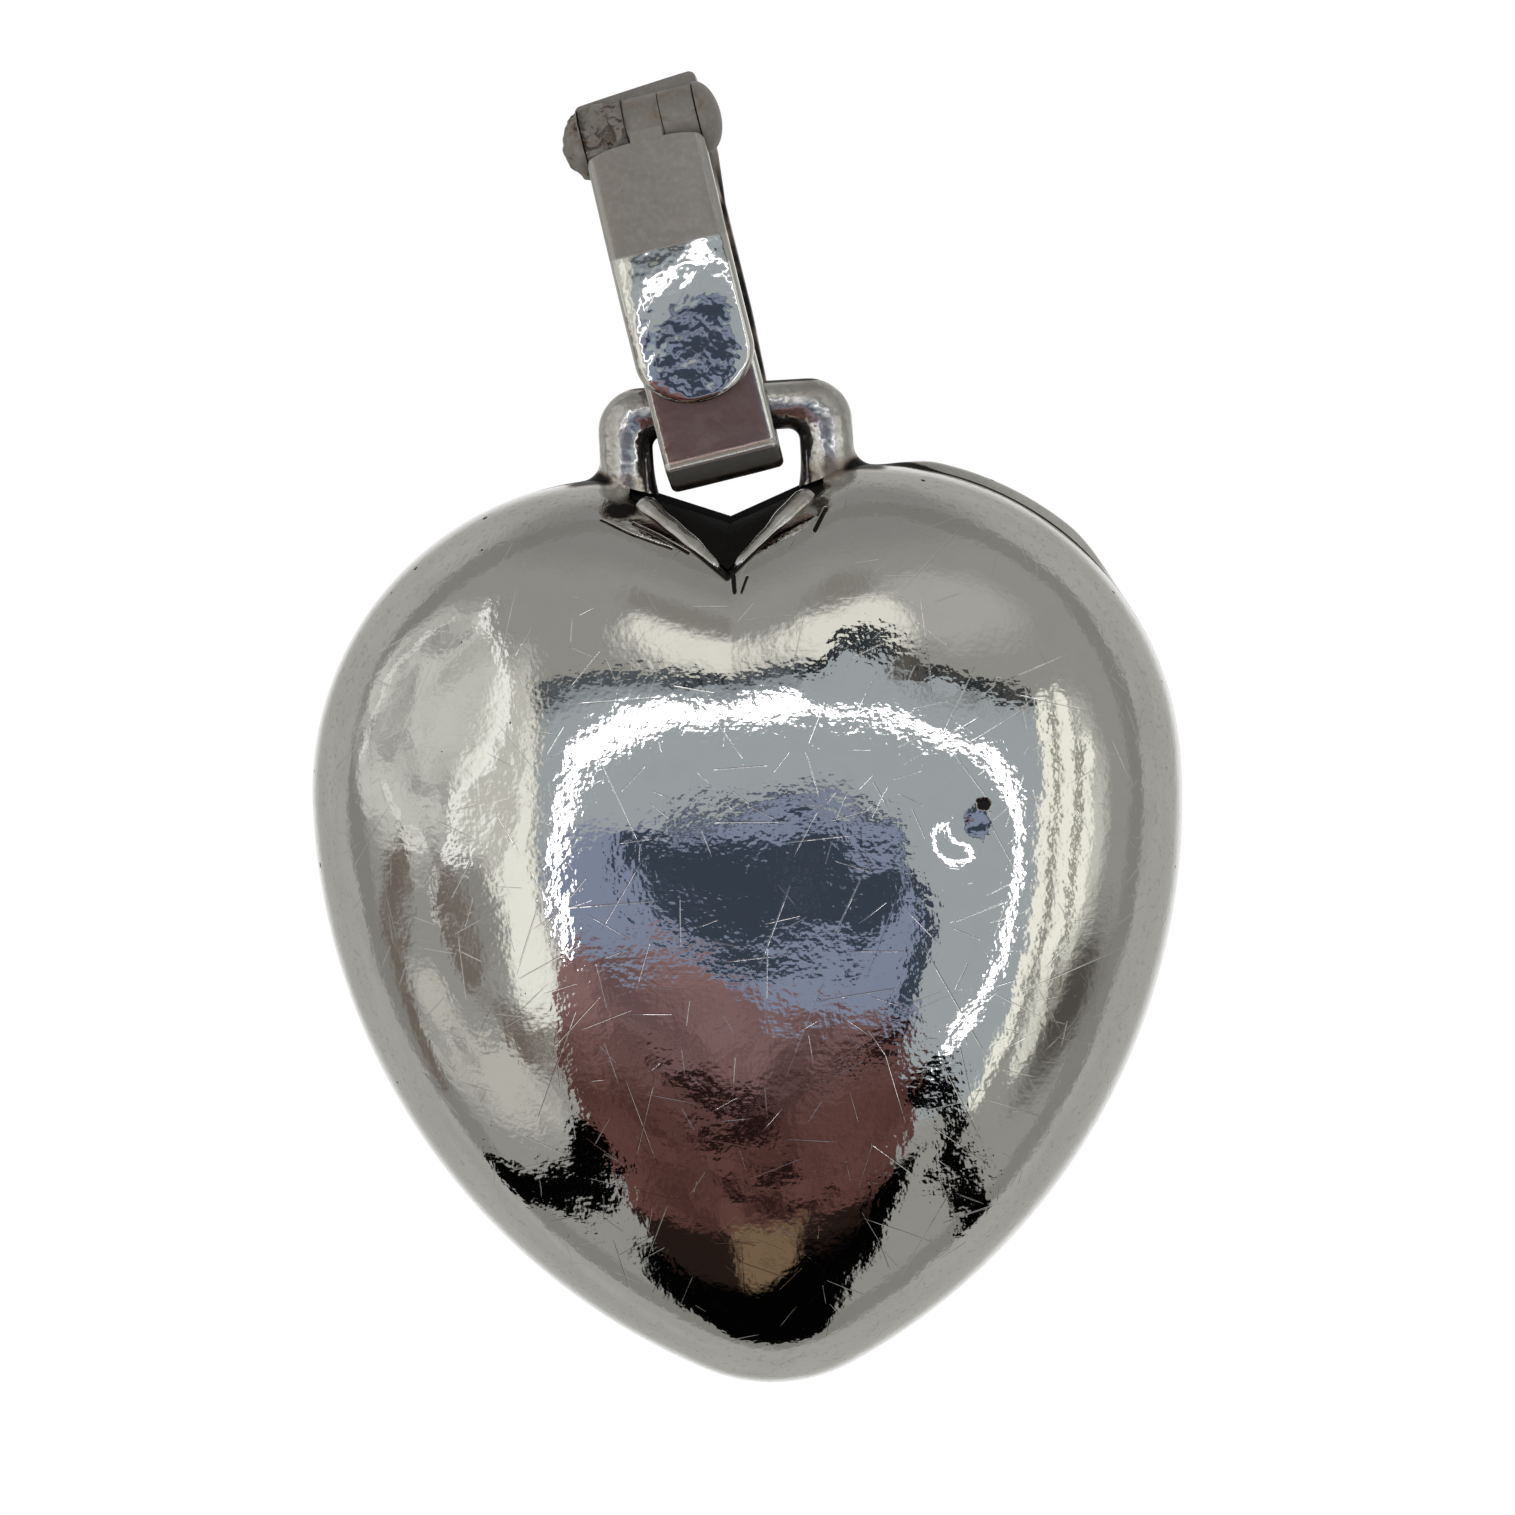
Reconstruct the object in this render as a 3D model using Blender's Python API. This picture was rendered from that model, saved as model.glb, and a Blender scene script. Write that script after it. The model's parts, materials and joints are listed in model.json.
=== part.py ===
"""Puffy heart pendant on a clip bail, in metres, +Z up, hanging as it is worn.

The origin is the chain's seat, inside the top of the bail. The front of the heart faces -Y.
A hollow heart of two domed shells carries a fixed loop on its lobes. The bail hooks through
that loop: its strap stays on the chain, and its front leaf opens on a hinge at the top.
"""

from math import asin, atan2, copysign, cos, pi, radians, sin, sqrt, tan

import bmesh
import bpy
from mathutils import Vector

MM = 0.001

# Heart outline at the seam, as a chain of arcs from the point up to the cleft.
# Each arc turns the heading, measured from level, up to the angle given.
TIP_RADIUS = 5.9 * MM
TIP_TURN = radians(26)
FLANK_RADIUS = 22.2 * MM
FLANK_TURN = radians(91)
LOBE_RADIUS = 10.85 * MM
LOBE_TURN = radians(176)
SHOULDER_RADIUS = 4.0 * MM
CLEFT_TURN = radians(201)

# Domes
FRONT_DEPTH = 7.0 * MM
BACK_DEPTH = 6.0 * MM
CROWN_DROP = 14.37 * MM  # of the dome's middle, below the lobes' tops
RIM_FULLNESS = 0.8  # 1 is an ellipse, and less is fuller at the rim
VALLEY_START = radians(18)  # the cleft fills up between these two angles up the dome
VALLEY_END = radians(72)
SHELL_WALL = 0.6 * MM
SEAM_SKIRT = 0.15 * MM
DOME_RINGS = 10

# Cleft cut and the folded strip that closes it
CUT_BACK_DROP = 0.7 * MM  # of the strip's underside at the seam, below the cleft's bottom
CUT_TIP_DROP = 2.52 * MM  # of the cut's lowest point in the front dome, below the cleft's bottom
CUT_TIP_DEPTH = 4.55 * MM
CUT_SLOPE = radians(41)
CUT_SWEEP = radians(30)  # how fast the cut's edge comes back towards the seam
GUSSET_HALF_WIDTH = 3.3 * MM
GUSSET_THICKNESS = 0.5 * MM
GUSSET_PROUD = 0.1 * MM

# Fixed loop
LOOP_RISE = 2.25 * MM  # of the bar's middle, above the lobes
LOOP_INSIDE_WIDTH = 5.1 * MM
LOOP_LEG_WIDTH = 1.85 * MM
LOOP_BAR_HEIGHT = 1.7 * MM
LOOP_DEPTH = 1.7 * MM
LOOP_OUTER_RADIUS = 1.5 * MM
LOOP_INNER_RADIUS = 0.4 * MM
LOOP_FULLNESS = 0.8  # of the wire's section, on the scale of RIM_FULLNESS
FILLET_WIDTH = 0.7 * MM
FILLET_HEIGHT = 0.7 * MM
FILLET_DEPTH = 1.2 * MM

# Bail, seen from its side: forward and back of the loop's bar, and up along the bail
BAIL_LEAN = radians(10.6)
BAIL_OFFSET = 0.4 * MM  # the hook lies this far left of the loop's middle
STRAP_WIDTH = 4.0 * MM
STRAP_TOP_WIDTH = 4.35 * MM
STRAP_THICKNESS = 0.9 * MM
STRAP_FRONT = 2.25 * MM
STRAP_BACK = 3.3 * MM
LIP_RISE = 1.6 * MM
HOOK_BEND_DROP = 1.75 * MM
HOOK_BEND_RADIUS = 0.22 * MM
HOOK_BOTTOM_DROP = 2.52 * MM
HOOK_BOTTOM_FRONT = 0.9 * MM
HOOK_BOTTOM_BACK = 0.95 * MM
HOOK_BOTTOM_RADIUS = 0.5 * MM
HEEL_DROP = 0.88 * MM
HEEL_BACK = 2.55 * MM
HEEL_RADIUS = 1.7 * MM
BACK_BEND_RISE = 2.95 * MM
BACK_BEND_RADIUS = 4.0 * MM
FLARE_RISE = 6.8 * MM  # where the strap starts to widen
FLARE_LENGTH = 1.7 * MM
STRAP_END_BACK = 0.7 * MM  # of the strap's top end, behind the pin
STRAP_TOP_RISE = 0.3 * MM  # of the strap's top, above the hinge tubes
STRAP_EDGE_ROUND = 0.2 * MM

# Leaf
LEAF_WIDTH = 4.15 * MM
LEAF_THICKNESS = 0.9 * MM
LEAF_END_RISE = 0.3 * MM
LEAF_END_LENGTH = 1.7 * MM
LEAF_BEND_RISE = 5.9 * MM
LEAF_BEND_RADIUS = 3.0 * MM
LEAF_EDGE_ROUND = 0.22 * MM
BEAD_RADIUS = 0.42 * MM
BEAD_HEIGHT = 0.3 * MM

# Hinge
HINGE_RISE = 9.85 * MM
HINGE_FORWARD = 0.6 * MM
LEFT_KNUCKLE_RADIUS = 1.3 * MM
KNUCKLE_RADIUS = 1.2 * MM
KNUCKLE_CHAMFER = 0.12 * MM
LEFT_SPLIT = -0.46 * MM  # where the tubes meet, across the hinge
RIGHT_SPLIT = 0.76 * MM
PIN_RADIUS = 0.4 * MM
HEAD_RADIUS = 1.15 * MM
HEAD_HEIGHT = 0.72 * MM

# Clearances
SEAT_GAP = 0.05 * MM  # between soldered pieces
RUN_GAP = 0.08 * MM  # between pieces that turn or close on each other

# Smoothness
LEAST_BEND = 0.14 * MM  # radius on the inside of a tight bend
CLEFT_STEPS = (0.02, 0.25, 0.5, 0.75, 1, 1.25, 1.5)  # from the seam, at 0, to beyond the dome
ROUND_STEPS = 32
WIRE_STEPS = 16
ARC_STEPS = 5


def clear_scene():
    for thing in list(bpy.data.objects):
        bpy.data.objects.remove(thing, do_unlink=True)


def metal(name, color, roughness):
    material = bpy.data.materials.new(name)
    material.use_nodes = True
    shader = material.node_tree.nodes["Principled BSDF"]
    shader.inputs["Base Color"].default_value = (*color, 1)
    shader.inputs["Roughness"].default_value = roughness
    shader.inputs["Metallic"].default_value = 1
    material.diffuse_color = (*color, 1)
    return material


def empty(name, location, parent=None, lean=0.0):
    """A frame that carries other objects, such as a joint's axis."""
    frame = bpy.data.objects.new(name, None)
    frame.location = location
    frame.rotation_euler = (0, lean, 0)
    frame.parent = parent
    bpy.context.collection.objects.link(frame)
    return frame


def piece(name, bm, parent, material=None):
    """One named object from a bmesh, shaded smooth except at its sharp edges."""
    bmesh.ops.recalc_face_normals(bm, faces=bm.faces)
    mesh = bpy.data.meshes.new(name)
    bm.to_mesh(mesh)
    bm.free()
    thing = bpy.data.objects.new(name, mesh)
    thing.parent = parent
    bpy.context.collection.objects.link(thing)
    mesh.shade_smooth()
    mesh.set_sharp_from_angle(angle=radians(35))
    if material:
        mesh.materials.append(material)
    return thing


def guide(name, bm, parent):
    """A cutter: it shapes other pieces and isn't one itself."""
    thing = piece(name, bm, parent)
    thing.hide_render = True
    thing.display_type = "WIRE"
    return thing


def boolean(thing, tool, operation):
    modifier = thing.modifiers.new(tool.name, "BOOLEAN")
    modifier.object = tool
    modifier.operation = operation


def loft(rings):
    """Skin a row of rings that have the same number of points, and close both ends."""
    bm = bmesh.new()
    rows = [[bm.verts.new(point) for point in ring] for ring in rings]
    for first, second in zip(rows, rows[1:]):
        for i in range(len(first)):
            bm.faces.new((first[i - 1], first[i], second[i], second[i - 1]))
    bm.faces.new(rows[0])
    bm.faces.new(reversed(rows[-1]))
    return bm


def turned(profile):
    """A solid turned about the local X axis, from (place along the axis, radius) pairs."""
    bm = bmesh.new()
    verts = [bm.verts.new((along, 0, radius)) for along, radius in profile]
    edges = [bm.edges.new(pair) for pair in zip(verts, verts[1:])]
    if profile[0][1] > 0:
        edges.append(bm.edges.new((verts[-1], verts[0])))
    bmesh.ops.spin(
        bm, geom=verts + edges, cent=(0, 0, 0), axis=(1, 0, 0), angle=2 * pi, steps=ROUND_STEPS
    )
    bmesh.ops.remove_doubles(bm, verts=bm.verts, dist=SEAT_GAP / 100)
    return bm


def rounded_path(corners, offset=0.0):
    """Points along a polyline of (across, up, radius) corners, its inner ones rounded.

    With an offset the path lies that far to its left, with tighter or wider corners.
    Every bend has the same number of points, so two offsets of a path match point by point.
    A corner on a straight run is a single point.
    """
    spots = [Vector(corner[:2]) for corner in corners]
    ways = [(b - a).normalized() for a, b in zip(spots, spots[1:])]
    sides = [Vector((-way.y, way.x)) for way in ways]
    points = [spots[0] + offset * sides[0]]
    for i, (_, _, radius) in enumerate(corners[1:-1]):
        turn = ways[i].cross(ways[i + 1])
        angle = atan2(turn, ways[i].dot(ways[i + 1]))
        mitre = (sides[i] + sides[i + 1]) / (1 + sides[i].dot(sides[i + 1]))
        corner = spots[i + 1] + offset * mitre
        if not angle:
            points.append(corner)
            continue
        left = copysign(1, angle)
        bend = max(radius - offset * left, LEAST_BEND)
        start = corner - bend * tan(abs(angle) / 2) * ways[i]
        center = start + bend * left * sides[i]
        arm = start - center
        for step in range(ARC_STEPS + 1):
            part = angle * step / ARC_STEPS
            points.append(center + Vector((
                arm.x * cos(part) - arm.y * sin(part),
                arm.x * sin(part) + arm.y * cos(part),
            )))
    points.append(spots[-1] + offset * sides[-1])
    return points


def bar_section(half_thickness, half_width, rounding):
    """A rounded oblong in (across the thickness, across the width), as four rounded corners."""
    rounding = min(rounding, half_width * 0.9, half_thickness * 0.9)
    section = []
    for quarter in range(4):
        side = 1 if quarter in (0, 3) else -1
        edge = 1 if quarter in (0, 1) else -1
        for step in range(3):
            angle = pi / 2 * (quarter + step / 2)
            section.append((
                side * (half_thickness - rounding) + rounding * cos(angle),
                edge * (half_width - rounding) + rounding * sin(angle),
            ))
    return section


def bent_bar(outer, inner, half_widths, rounding):
    """A bar that follows two matching paths in the YZ plane, with its width along X."""
    rings = []
    for out_point, in_point, half_width in zip(outer, inner, half_widths):
        middle = (out_point + in_point) / 2
        across = (out_point - in_point) / 2
        half_thickness = across.length
        way = across / half_thickness
        ring = []
        for depth, side in bar_section(half_thickness, half_width, rounding):
            spot = middle + way * depth
            ring.append((side, spot.x, spot.y))
        rings.append(ring)
    return loft(rings)


def half_outline(inset=0.0):
    """The right half of the heart at the seam, as (x, z) from its point up to the cleft."""
    x = 0.0
    z = inset
    heading = 0.0
    points = [(x, z)]
    arcs = (
        (TIP_RADIUS, TIP_TURN, 4),
        (FLANK_RADIUS, FLANK_TURN, 9),
        (LOBE_RADIUS, LOBE_TURN, 13),
        (SHOULDER_RADIUS, CLEFT_TURN, 3),
    )
    for radius, end, steps in arcs:
        bend = radius - inset
        for step in range(1, steps + 1):
            turn = heading + (end - heading) * step / steps
            points.append((
                x + bend * (sin(turn) - sin(heading)),
                z - bend * (cos(turn) - cos(heading)),
            ))
        x, z = points[-1]
        heading = end
    run = x / -cos(heading)
    for step in range(1, 5):
        share = step / 4
        points.append((x + run * share * cos(heading), z + run * share * sin(heading)))
    return points


def lobe_top():
    return max(z for _, z in half_outline())


def mirrored(half):
    """The whole outline as one ring, from its right half."""
    return half + [(-x, z) for x, z in half[-2:0:-1]]


def heart_rings(depth, side, inset=0.0):
    """Rings of one dome, from the seam to near its crown, in the frame of the loop's bar."""
    half = half_outline(inset)
    peak_x, peak_z = max(half, key=lambda spot: spot[1])
    crown_height = lobe_top() - CROWN_DROP
    drop = lobe_top() + LOOP_RISE
    reach = depth - inset
    edge = mirrored(half)
    rings = [[(x, 0, z - drop) for x, z in edge]]
    for ring in range(DOME_RINGS):
        angle = pi / 2 * ring / DOME_RINGS
        shrink = cos(angle) ** RIM_FULLNESS
        fade = min(max((angle - VALLEY_START) / (VALLEY_END - VALLEY_START), 0), 1)
        fade = fade * fade * (3 - 2 * fade)
        y = side * (SEAM_SKIRT + (reach - SEAM_SKIRT) * sin(angle))
        points = []
        for x, z in edge:
            in_cleft = abs(x) < peak_x and z > crown_height
            lifted = z + (peak_z - z) * fade if in_cleft else z
            points.append((
                x * shrink,
                y,
                crown_height + (lifted - crown_height) * shrink - drop,
            ))
        rings.append(points)
    return rings, (0, side * reach, crown_height - drop)


def dome_skin(bm, depth, side, inset=0.0):
    """One dome as an open sheet, with a fan of faces at its crown. Returns its first ring."""
    rings, crown = heart_rings(depth, side, inset)
    rows = [[bm.verts.new(point) for point in ring] for ring in rings]
    for first, second in zip(rows, rows[1:]):
        for i in range(len(first)):
            bm.faces.new((first[i - 1], first[i], second[i], second[i - 1]))
    pole = bm.verts.new(crown)
    for i in range(len(rows[-1])):
        bm.faces.new((rows[-1][i - 1], rows[-1][i], pole))
    return rows[0]


def shell(name, depth, side, parent, material):
    """One half of the heart: a domed sheet with a wall, open at the seam."""
    bm = bmesh.new()
    dome_skin(bm, depth, side)
    thing = piece(name, bm, parent, material)
    thing.location.y = side * SEAT_GAP / 2
    wall = thing.modifiers.new("wall", "SOLIDIFY")
    wall.thickness = SHELL_WALL
    wall.offset = -1
    wall.use_even_offset = True
    return thing


def heart_body(name, inset, parent):
    """The whole heart as one closed guide, grown outward where the inset is negative."""
    bm = bmesh.new()
    front = dome_skin(bm, FRONT_DEPTH, -1, inset)
    back = dome_skin(bm, BACK_DEPTH, 1, inset)
    bmesh.ops.remove_doubles(bm, verts=front + back, dist=SEAT_GAP / 100)
    return guide(name, bm, parent)


def cleft_rows(thickness, lift, half_width, steps):
    """Rings of the folded strip, from behind the seam to beyond the front dome.

    Each ring is a V with a lower and an upper line. The lower line is the bottom of the cut.
    """
    bottom = half_outline()[-1][1] - lobe_top() - LOOP_RISE
    sides = [half_width * share / 4 for share in range(-4, 5)]
    rings = []
    for t in steps:
        line = []
        for x in sides:
            run = CUT_TIP_DEPTH - abs(x) * tan(CUT_SWEEP)
            back = -CUT_BACK_DROP + abs(x) * tan(CLEFT_TURN - pi)
            front = -CUT_TIP_DROP + abs(x) * tan(CUT_SLOPE)
            line.append((x, -t * run, bottom + back + (front - back) * t))
        lower = [(x, y, z - lift) for x, y, z in line]
        upper = [(x, y, z + thickness) for x, y, z in reversed(line)]
        rings.append(lower + upper)
    return rings


def cleft_gusset(parent, envelope, material):
    """The folded strip, trimmed to stand just proud of the front dome."""
    rings = cleft_rows(GUSSET_THICKNESS, 0.0, GUSSET_HALF_WIDTH, CLEFT_STEPS)
    thing = piece("cleft_gusset", loft(rings), parent, material)
    boolean(thing, envelope, "INTERSECT")
    return thing


def cleft_cutter(parent):
    """Everything above the strip's underside, cut from the front shell."""
    steps = (-0.1, *CLEFT_STEPS)
    rings = cleft_rows(LOBE_RADIUS, SEAT_GAP, GUSSET_HALF_WIDTH + SEAT_GAP, steps)
    return guide("cleft_cutter", loft(rings), parent)


def staple(half_span, top, radius):
    """Corners of a right-angled staple, from inside the left lobe over to inside the right."""
    foot = -(LOOP_RISE + LOOP_DEPTH)
    return [
        (-half_span, foot, 0),
        (-half_span, top, radius),
        (half_span, top, radius),
        (half_span, foot, 0),
    ]


def oval(angle, fullness):
    """A point on an oval of radius 1, fuller than a circle where the fullness is under 1."""
    across = copysign(abs(cos(angle)) ** fullness, cos(angle))
    deep = copysign(abs(sin(angle)) ** fullness, sin(angle))
    return across, deep


def hanging_loop(parent, seat, material):
    """A heavy staple of oval wire, with a solder fillet outside each foot, cut to the lobes."""
    inside = LOOP_INSIDE_WIDTH / 2
    outside = inside + LOOP_LEG_WIDTH
    outer = rounded_path(staple(outside, LOOP_BAR_HEIGHT / 2, LOOP_OUTER_RADIUS))
    inner = rounded_path(staple(inside, -LOOP_BAR_HEIGHT / 2, LOOP_INNER_RADIUS))
    rings = []
    for out_point, in_point in zip(outer, inner):
        middle = (out_point + in_point) / 2
        arm = (out_point - in_point) / 2
        ring = []
        for step in range(WIRE_STEPS):
            across, deep = oval(2 * pi * step / WIRE_STEPS, LOOP_FULLNESS)
            spot = middle + arm * across
            ring.append((spot.x, deep * LOOP_DEPTH / 2, spot.y))
        rings.append(ring)
    thing = piece("hanging_loop", loft(rings), parent, material)
    boolean(thing, solder_fillet("left_fillet", -1, outside, parent), "UNION")
    boolean(thing, solder_fillet("right_fillet", 1, outside, parent), "UNION")
    boolean(thing, seat, "DIFFERENCE")
    return thing


def solder_fillet(name, side, leg_face, parent):
    """A hollow-faced wedge of solder between a foot's outer side and the lobe."""
    inside = leg_face - LOOP_LEG_WIDTH / 3
    low = -(LOOP_RISE + LOOP_DEPTH / 2)
    outline = [(inside, low), (inside, FILLET_HEIGHT - LOOP_RISE)]
    for step in range(ARC_STEPS + 1):
        angle = pi / 2 * step / ARC_STEPS
        outline.append((
            leg_face + FILLET_WIDTH * (1 - cos(angle)),
            FILLET_HEIGHT * (1 - sin(angle)) - LOOP_RISE,
        ))
    outline.append((leg_face + FILLET_WIDTH, low))
    rings = [
        [(side * x, y, z) for x, z in outline]
        for y in (-FILLET_DEPTH / 2, FILLET_DEPTH / 2)
    ]
    return guide(name, loft(rings), parent)


def strap_corners():
    """The strap's outer line from the lip's top, round the hook and up the back to the hinge."""
    top = HINGE_RISE + LEFT_KNUCKLE_RADIUS + RUN_GAP + STRAP_TOP_RISE
    end = STRAP_END_BACK - HINGE_FORWARD
    crown_radius = STRAP_BACK - end - STRAP_EDGE_ROUND
    return [
        (-STRAP_FRONT, LIP_RISE, 0),
        (-STRAP_FRONT, -HOOK_BEND_DROP, HOOK_BEND_RADIUS),
        (-HOOK_BOTTOM_FRONT, -HOOK_BOTTOM_DROP, HOOK_BOTTOM_RADIUS),
        (HOOK_BOTTOM_BACK, -HOOK_BOTTOM_DROP, HEEL_RADIUS),
        (HEEL_BACK, -HEEL_DROP, HEEL_RADIUS),
        (STRAP_BACK, BACK_BEND_RISE, BACK_BEND_RADIUS),
        (STRAP_BACK, FLARE_RISE, 0),
        (STRAP_BACK, top, crown_radius),
        (end, top, 0),
    ]


def back_strap(parent, hinge_room, material):
    """The bail's strap, which widens a little towards its top."""
    outer = rounded_path(strap_corners())
    inner = rounded_path(strap_corners(), STRAP_THICKNESS)
    half_widths = []
    for point in outer:
        share = min(max((point.y - FLARE_RISE) / FLARE_LENGTH, 0), 1)
        half_widths.append((STRAP_WIDTH + (STRAP_TOP_WIDTH - STRAP_WIDTH) * share) / 2)
    bm = bent_bar(outer, inner, half_widths, STRAP_EDGE_ROUND)
    thing = piece("back_strap", bm, parent, material)
    boolean(thing, hinge_room, "DIFFERENCE")
    return thing


def leaf_corners():
    """The leaf's outer line, from its lower end up to where it touches the hinge tube."""
    face = -(STRAP_FRONT + RUN_GAP + LEAF_THICKNESS)
    bend = Vector((face, LEAF_BEND_RISE))
    hinge = Vector((-HINGE_FORWARD, HINGE_RISE))
    arm = hinge - bend
    reach = sqrt(arm.length_squared - KNUCKLE_RADIUS ** 2)
    way = atan2(arm.y, arm.x) + asin(KNUCKLE_RADIUS / arm.length)
    touch = bend + reach * Vector((cos(way), sin(way)))
    return [
        (face, LEAF_END_RISE, 0),
        (bend.x, bend.y, LEAF_BEND_RADIUS),
        (touch.x, touch.y, 0),
    ]


def front_leaf(parent, tube_room, material):
    """The leaf: a bent plate with a round lower end, coped round the hinge tubes."""
    corners = leaf_corners()
    face = corners[0][0]
    outer = []
    inner = []
    half_widths = []
    for step in range(ARC_STEPS + 1):
        angle = radians(80) * (1 - step / ARC_STEPS)
        up = LEAF_END_RISE + LEAF_END_LENGTH * (1 - sin(angle))
        outer.append(Vector((face, up)))
        inner.append(Vector((face + LEAF_THICKNESS, up)))
        half_widths.append(LEAF_WIDTH / 2 * cos(angle))
    outer += rounded_path(corners)[1:]
    inner += rounded_path(corners, -LEAF_THICKNESS)[1:]
    half_widths += [LEAF_WIDTH / 2] * (len(outer) - len(half_widths))
    bm = bent_bar(outer, inner, half_widths, LEAF_EDGE_ROUND)
    thing = piece("front_leaf", bm, parent, material)
    boolean(thing, tube_room, "DIFFERENCE")
    return thing


def knuckle(name, start, end, radius, parent, material):
    """A hinge tube round the pin, with chamfered ends."""
    bore = PIN_RADIUS + RUN_GAP
    profile = [
        (start, bore),
        (start, radius - KNUCKLE_CHAMFER),
        (start + KNUCKLE_CHAMFER, radius),
        (end - KNUCKLE_CHAMFER, radius),
        (end, radius - KNUCKLE_CHAMFER),
        (end, bore),
    ]
    return piece(name, turned(profile), parent, material)


def hinge_pin(parent, material):
    """A pin with a domed, peened head against each end tube."""
    face = STRAP_WIDTH / 2 + SEAT_GAP
    right = [(face, PIN_RADIUS)]
    for step in range(ARC_STEPS):
        angle = pi / 2 * step / ARC_STEPS
        right.append((face + HEAD_HEIGHT * sin(angle), HEAD_RADIUS * cos(angle)))
    right.append((face + HEAD_HEIGHT, 0))
    left = [(-along, radius) for along, radius in reversed(right)]
    return piece("hinge_pin", turned(left + right), parent, material)


def snap_bead(parent, material):
    """A bead on the leaf's inner face, just above the lip that it clicks over."""
    base = -(STRAP_FRONT + RUN_GAP) + SEAT_GAP
    profile = [(0, 0)]
    for step in range(ARC_STEPS):
        angle = pi / 2 * step / ARC_STEPS
        profile.append((BEAD_HEIGHT * sin(angle), BEAD_RADIUS * cos(angle)))
    profile.append((BEAD_HEIGHT, 0))
    thing = piece("snap_bead", turned(profile), parent, material)
    thing.rotation_euler = (0, 0, pi / 2)
    thing.location = (0, base + HINGE_FORWARD, LIP_RISE + RUN_GAP + BEAD_RADIUS - HINGE_RISE)
    return thing


def build():
    clear_scene()
    polished = metal("polished_silver", (0.72, 0.71, 0.69), 0.12)
    worn = metal("worn_silver", (0.60, 0.59, 0.57), 0.28)
    dark = metal("darkened_silver", (0.18, 0.16, 0.14), 0.45)
    rough = metal("rough_solder", (0.45, 0.43, 0.40), 0.5)

    # The chain's seat is the origin, just under the hinge, above the middle of the bar.
    seat_rise = HINGE_RISE - sqrt(LEFT_KNUCKLE_RADIUS ** 2 - HINGE_FORWARD ** 2) - SEAT_GAP
    hook = Vector((seat_rise * sin(BAIL_LEAN), 0, -seat_rise * cos(BAIL_LEAN)))
    bail = empty("bail_frame", hook, lean=-BAIL_LEAN)
    swing = empty("heart_swing_axis", hook + Vector((BAIL_OFFSET, 0, 0)))
    hinge = empty("leaf_hinge_axis", (0, -HINGE_FORWARD, HINGE_RISE), parent=bail)

    # Heart
    envelope = heart_body("dome_envelope", -GUSSET_PROUD, swing)
    seat = heart_body("loop_seat", -GUSSET_PROUD - SEAT_GAP, swing)
    front = shell("front_shell", FRONT_DEPTH, -1, swing, polished)
    boolean(front, cleft_cutter(swing), "DIFFERENCE")
    shell("back_shell", BACK_DEPTH, 1, swing, worn)
    cleft_gusset(swing, envelope, dark)
    hanging_loop(swing, seat, worn)

    # Room for the hinge: all of it in the strap, and more round the fixed tubes in the leaf
    half = STRAP_WIDTH / 2
    left_side = LEFT_SPLIT + RUN_GAP / 2
    right_side = RIGHT_SPLIT - RUN_GAP / 2
    tube = KNUCKLE_RADIUS + SEAT_GAP
    room = LEFT_KNUCKLE_RADIUS + RUN_GAP
    beyond = half + LEFT_KNUCKLE_RADIUS
    left_end = [(-beyond, 0), (-beyond, room)]
    right_end = [(beyond, room), (beyond, 0)]
    middle = [(left_side, room), (left_side, tube), (right_side, tube), (right_side, room)]
    hinge_room = guide("hinge_room", turned(left_end + right_end), hinge)
    tube_room = guide("tube_room", turned(left_end + middle + right_end), hinge)

    # Bail
    back_strap(bail, hinge_room, polished)
    knuckle("left_knuckle", -half, LEFT_SPLIT - RUN_GAP / 2, LEFT_KNUCKLE_RADIUS, hinge, rough)
    knuckle("right_knuckle", RIGHT_SPLIT + RUN_GAP / 2, half, KNUCKLE_RADIUS, hinge, worn)
    hinge_pin(hinge, worn)
    knuckle("centre_knuckle", left_side, right_side, KNUCKLE_RADIUS, hinge, worn)
    leaf_frame = empty("leaf_frame", (0, HINGE_FORWARD, -HINGE_RISE), parent=hinge)
    front_leaf(leaf_frame, tube_room, polished)
    snap_bead(hinge, worn)


build()
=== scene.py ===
"""Looks of the puffy heart pendant: worn silver, its scratches, pits and tarnish, and a light tent.

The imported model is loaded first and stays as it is. Every piece here is in metres, in its frame.
The heart's own frame starts at the middle of the loop's bar. The bail's frame starts in its hook,
with one axis across the bail, one up along it, and Y from front to back in both.
"""

import json
from functools import reduce
from math import asin, atan2, copysign, cos, degrees, exp, pi, radians, sin, sqrt, tan

import bmesh
import bpy
from mathutils import Matrix, Vector, noise


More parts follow.
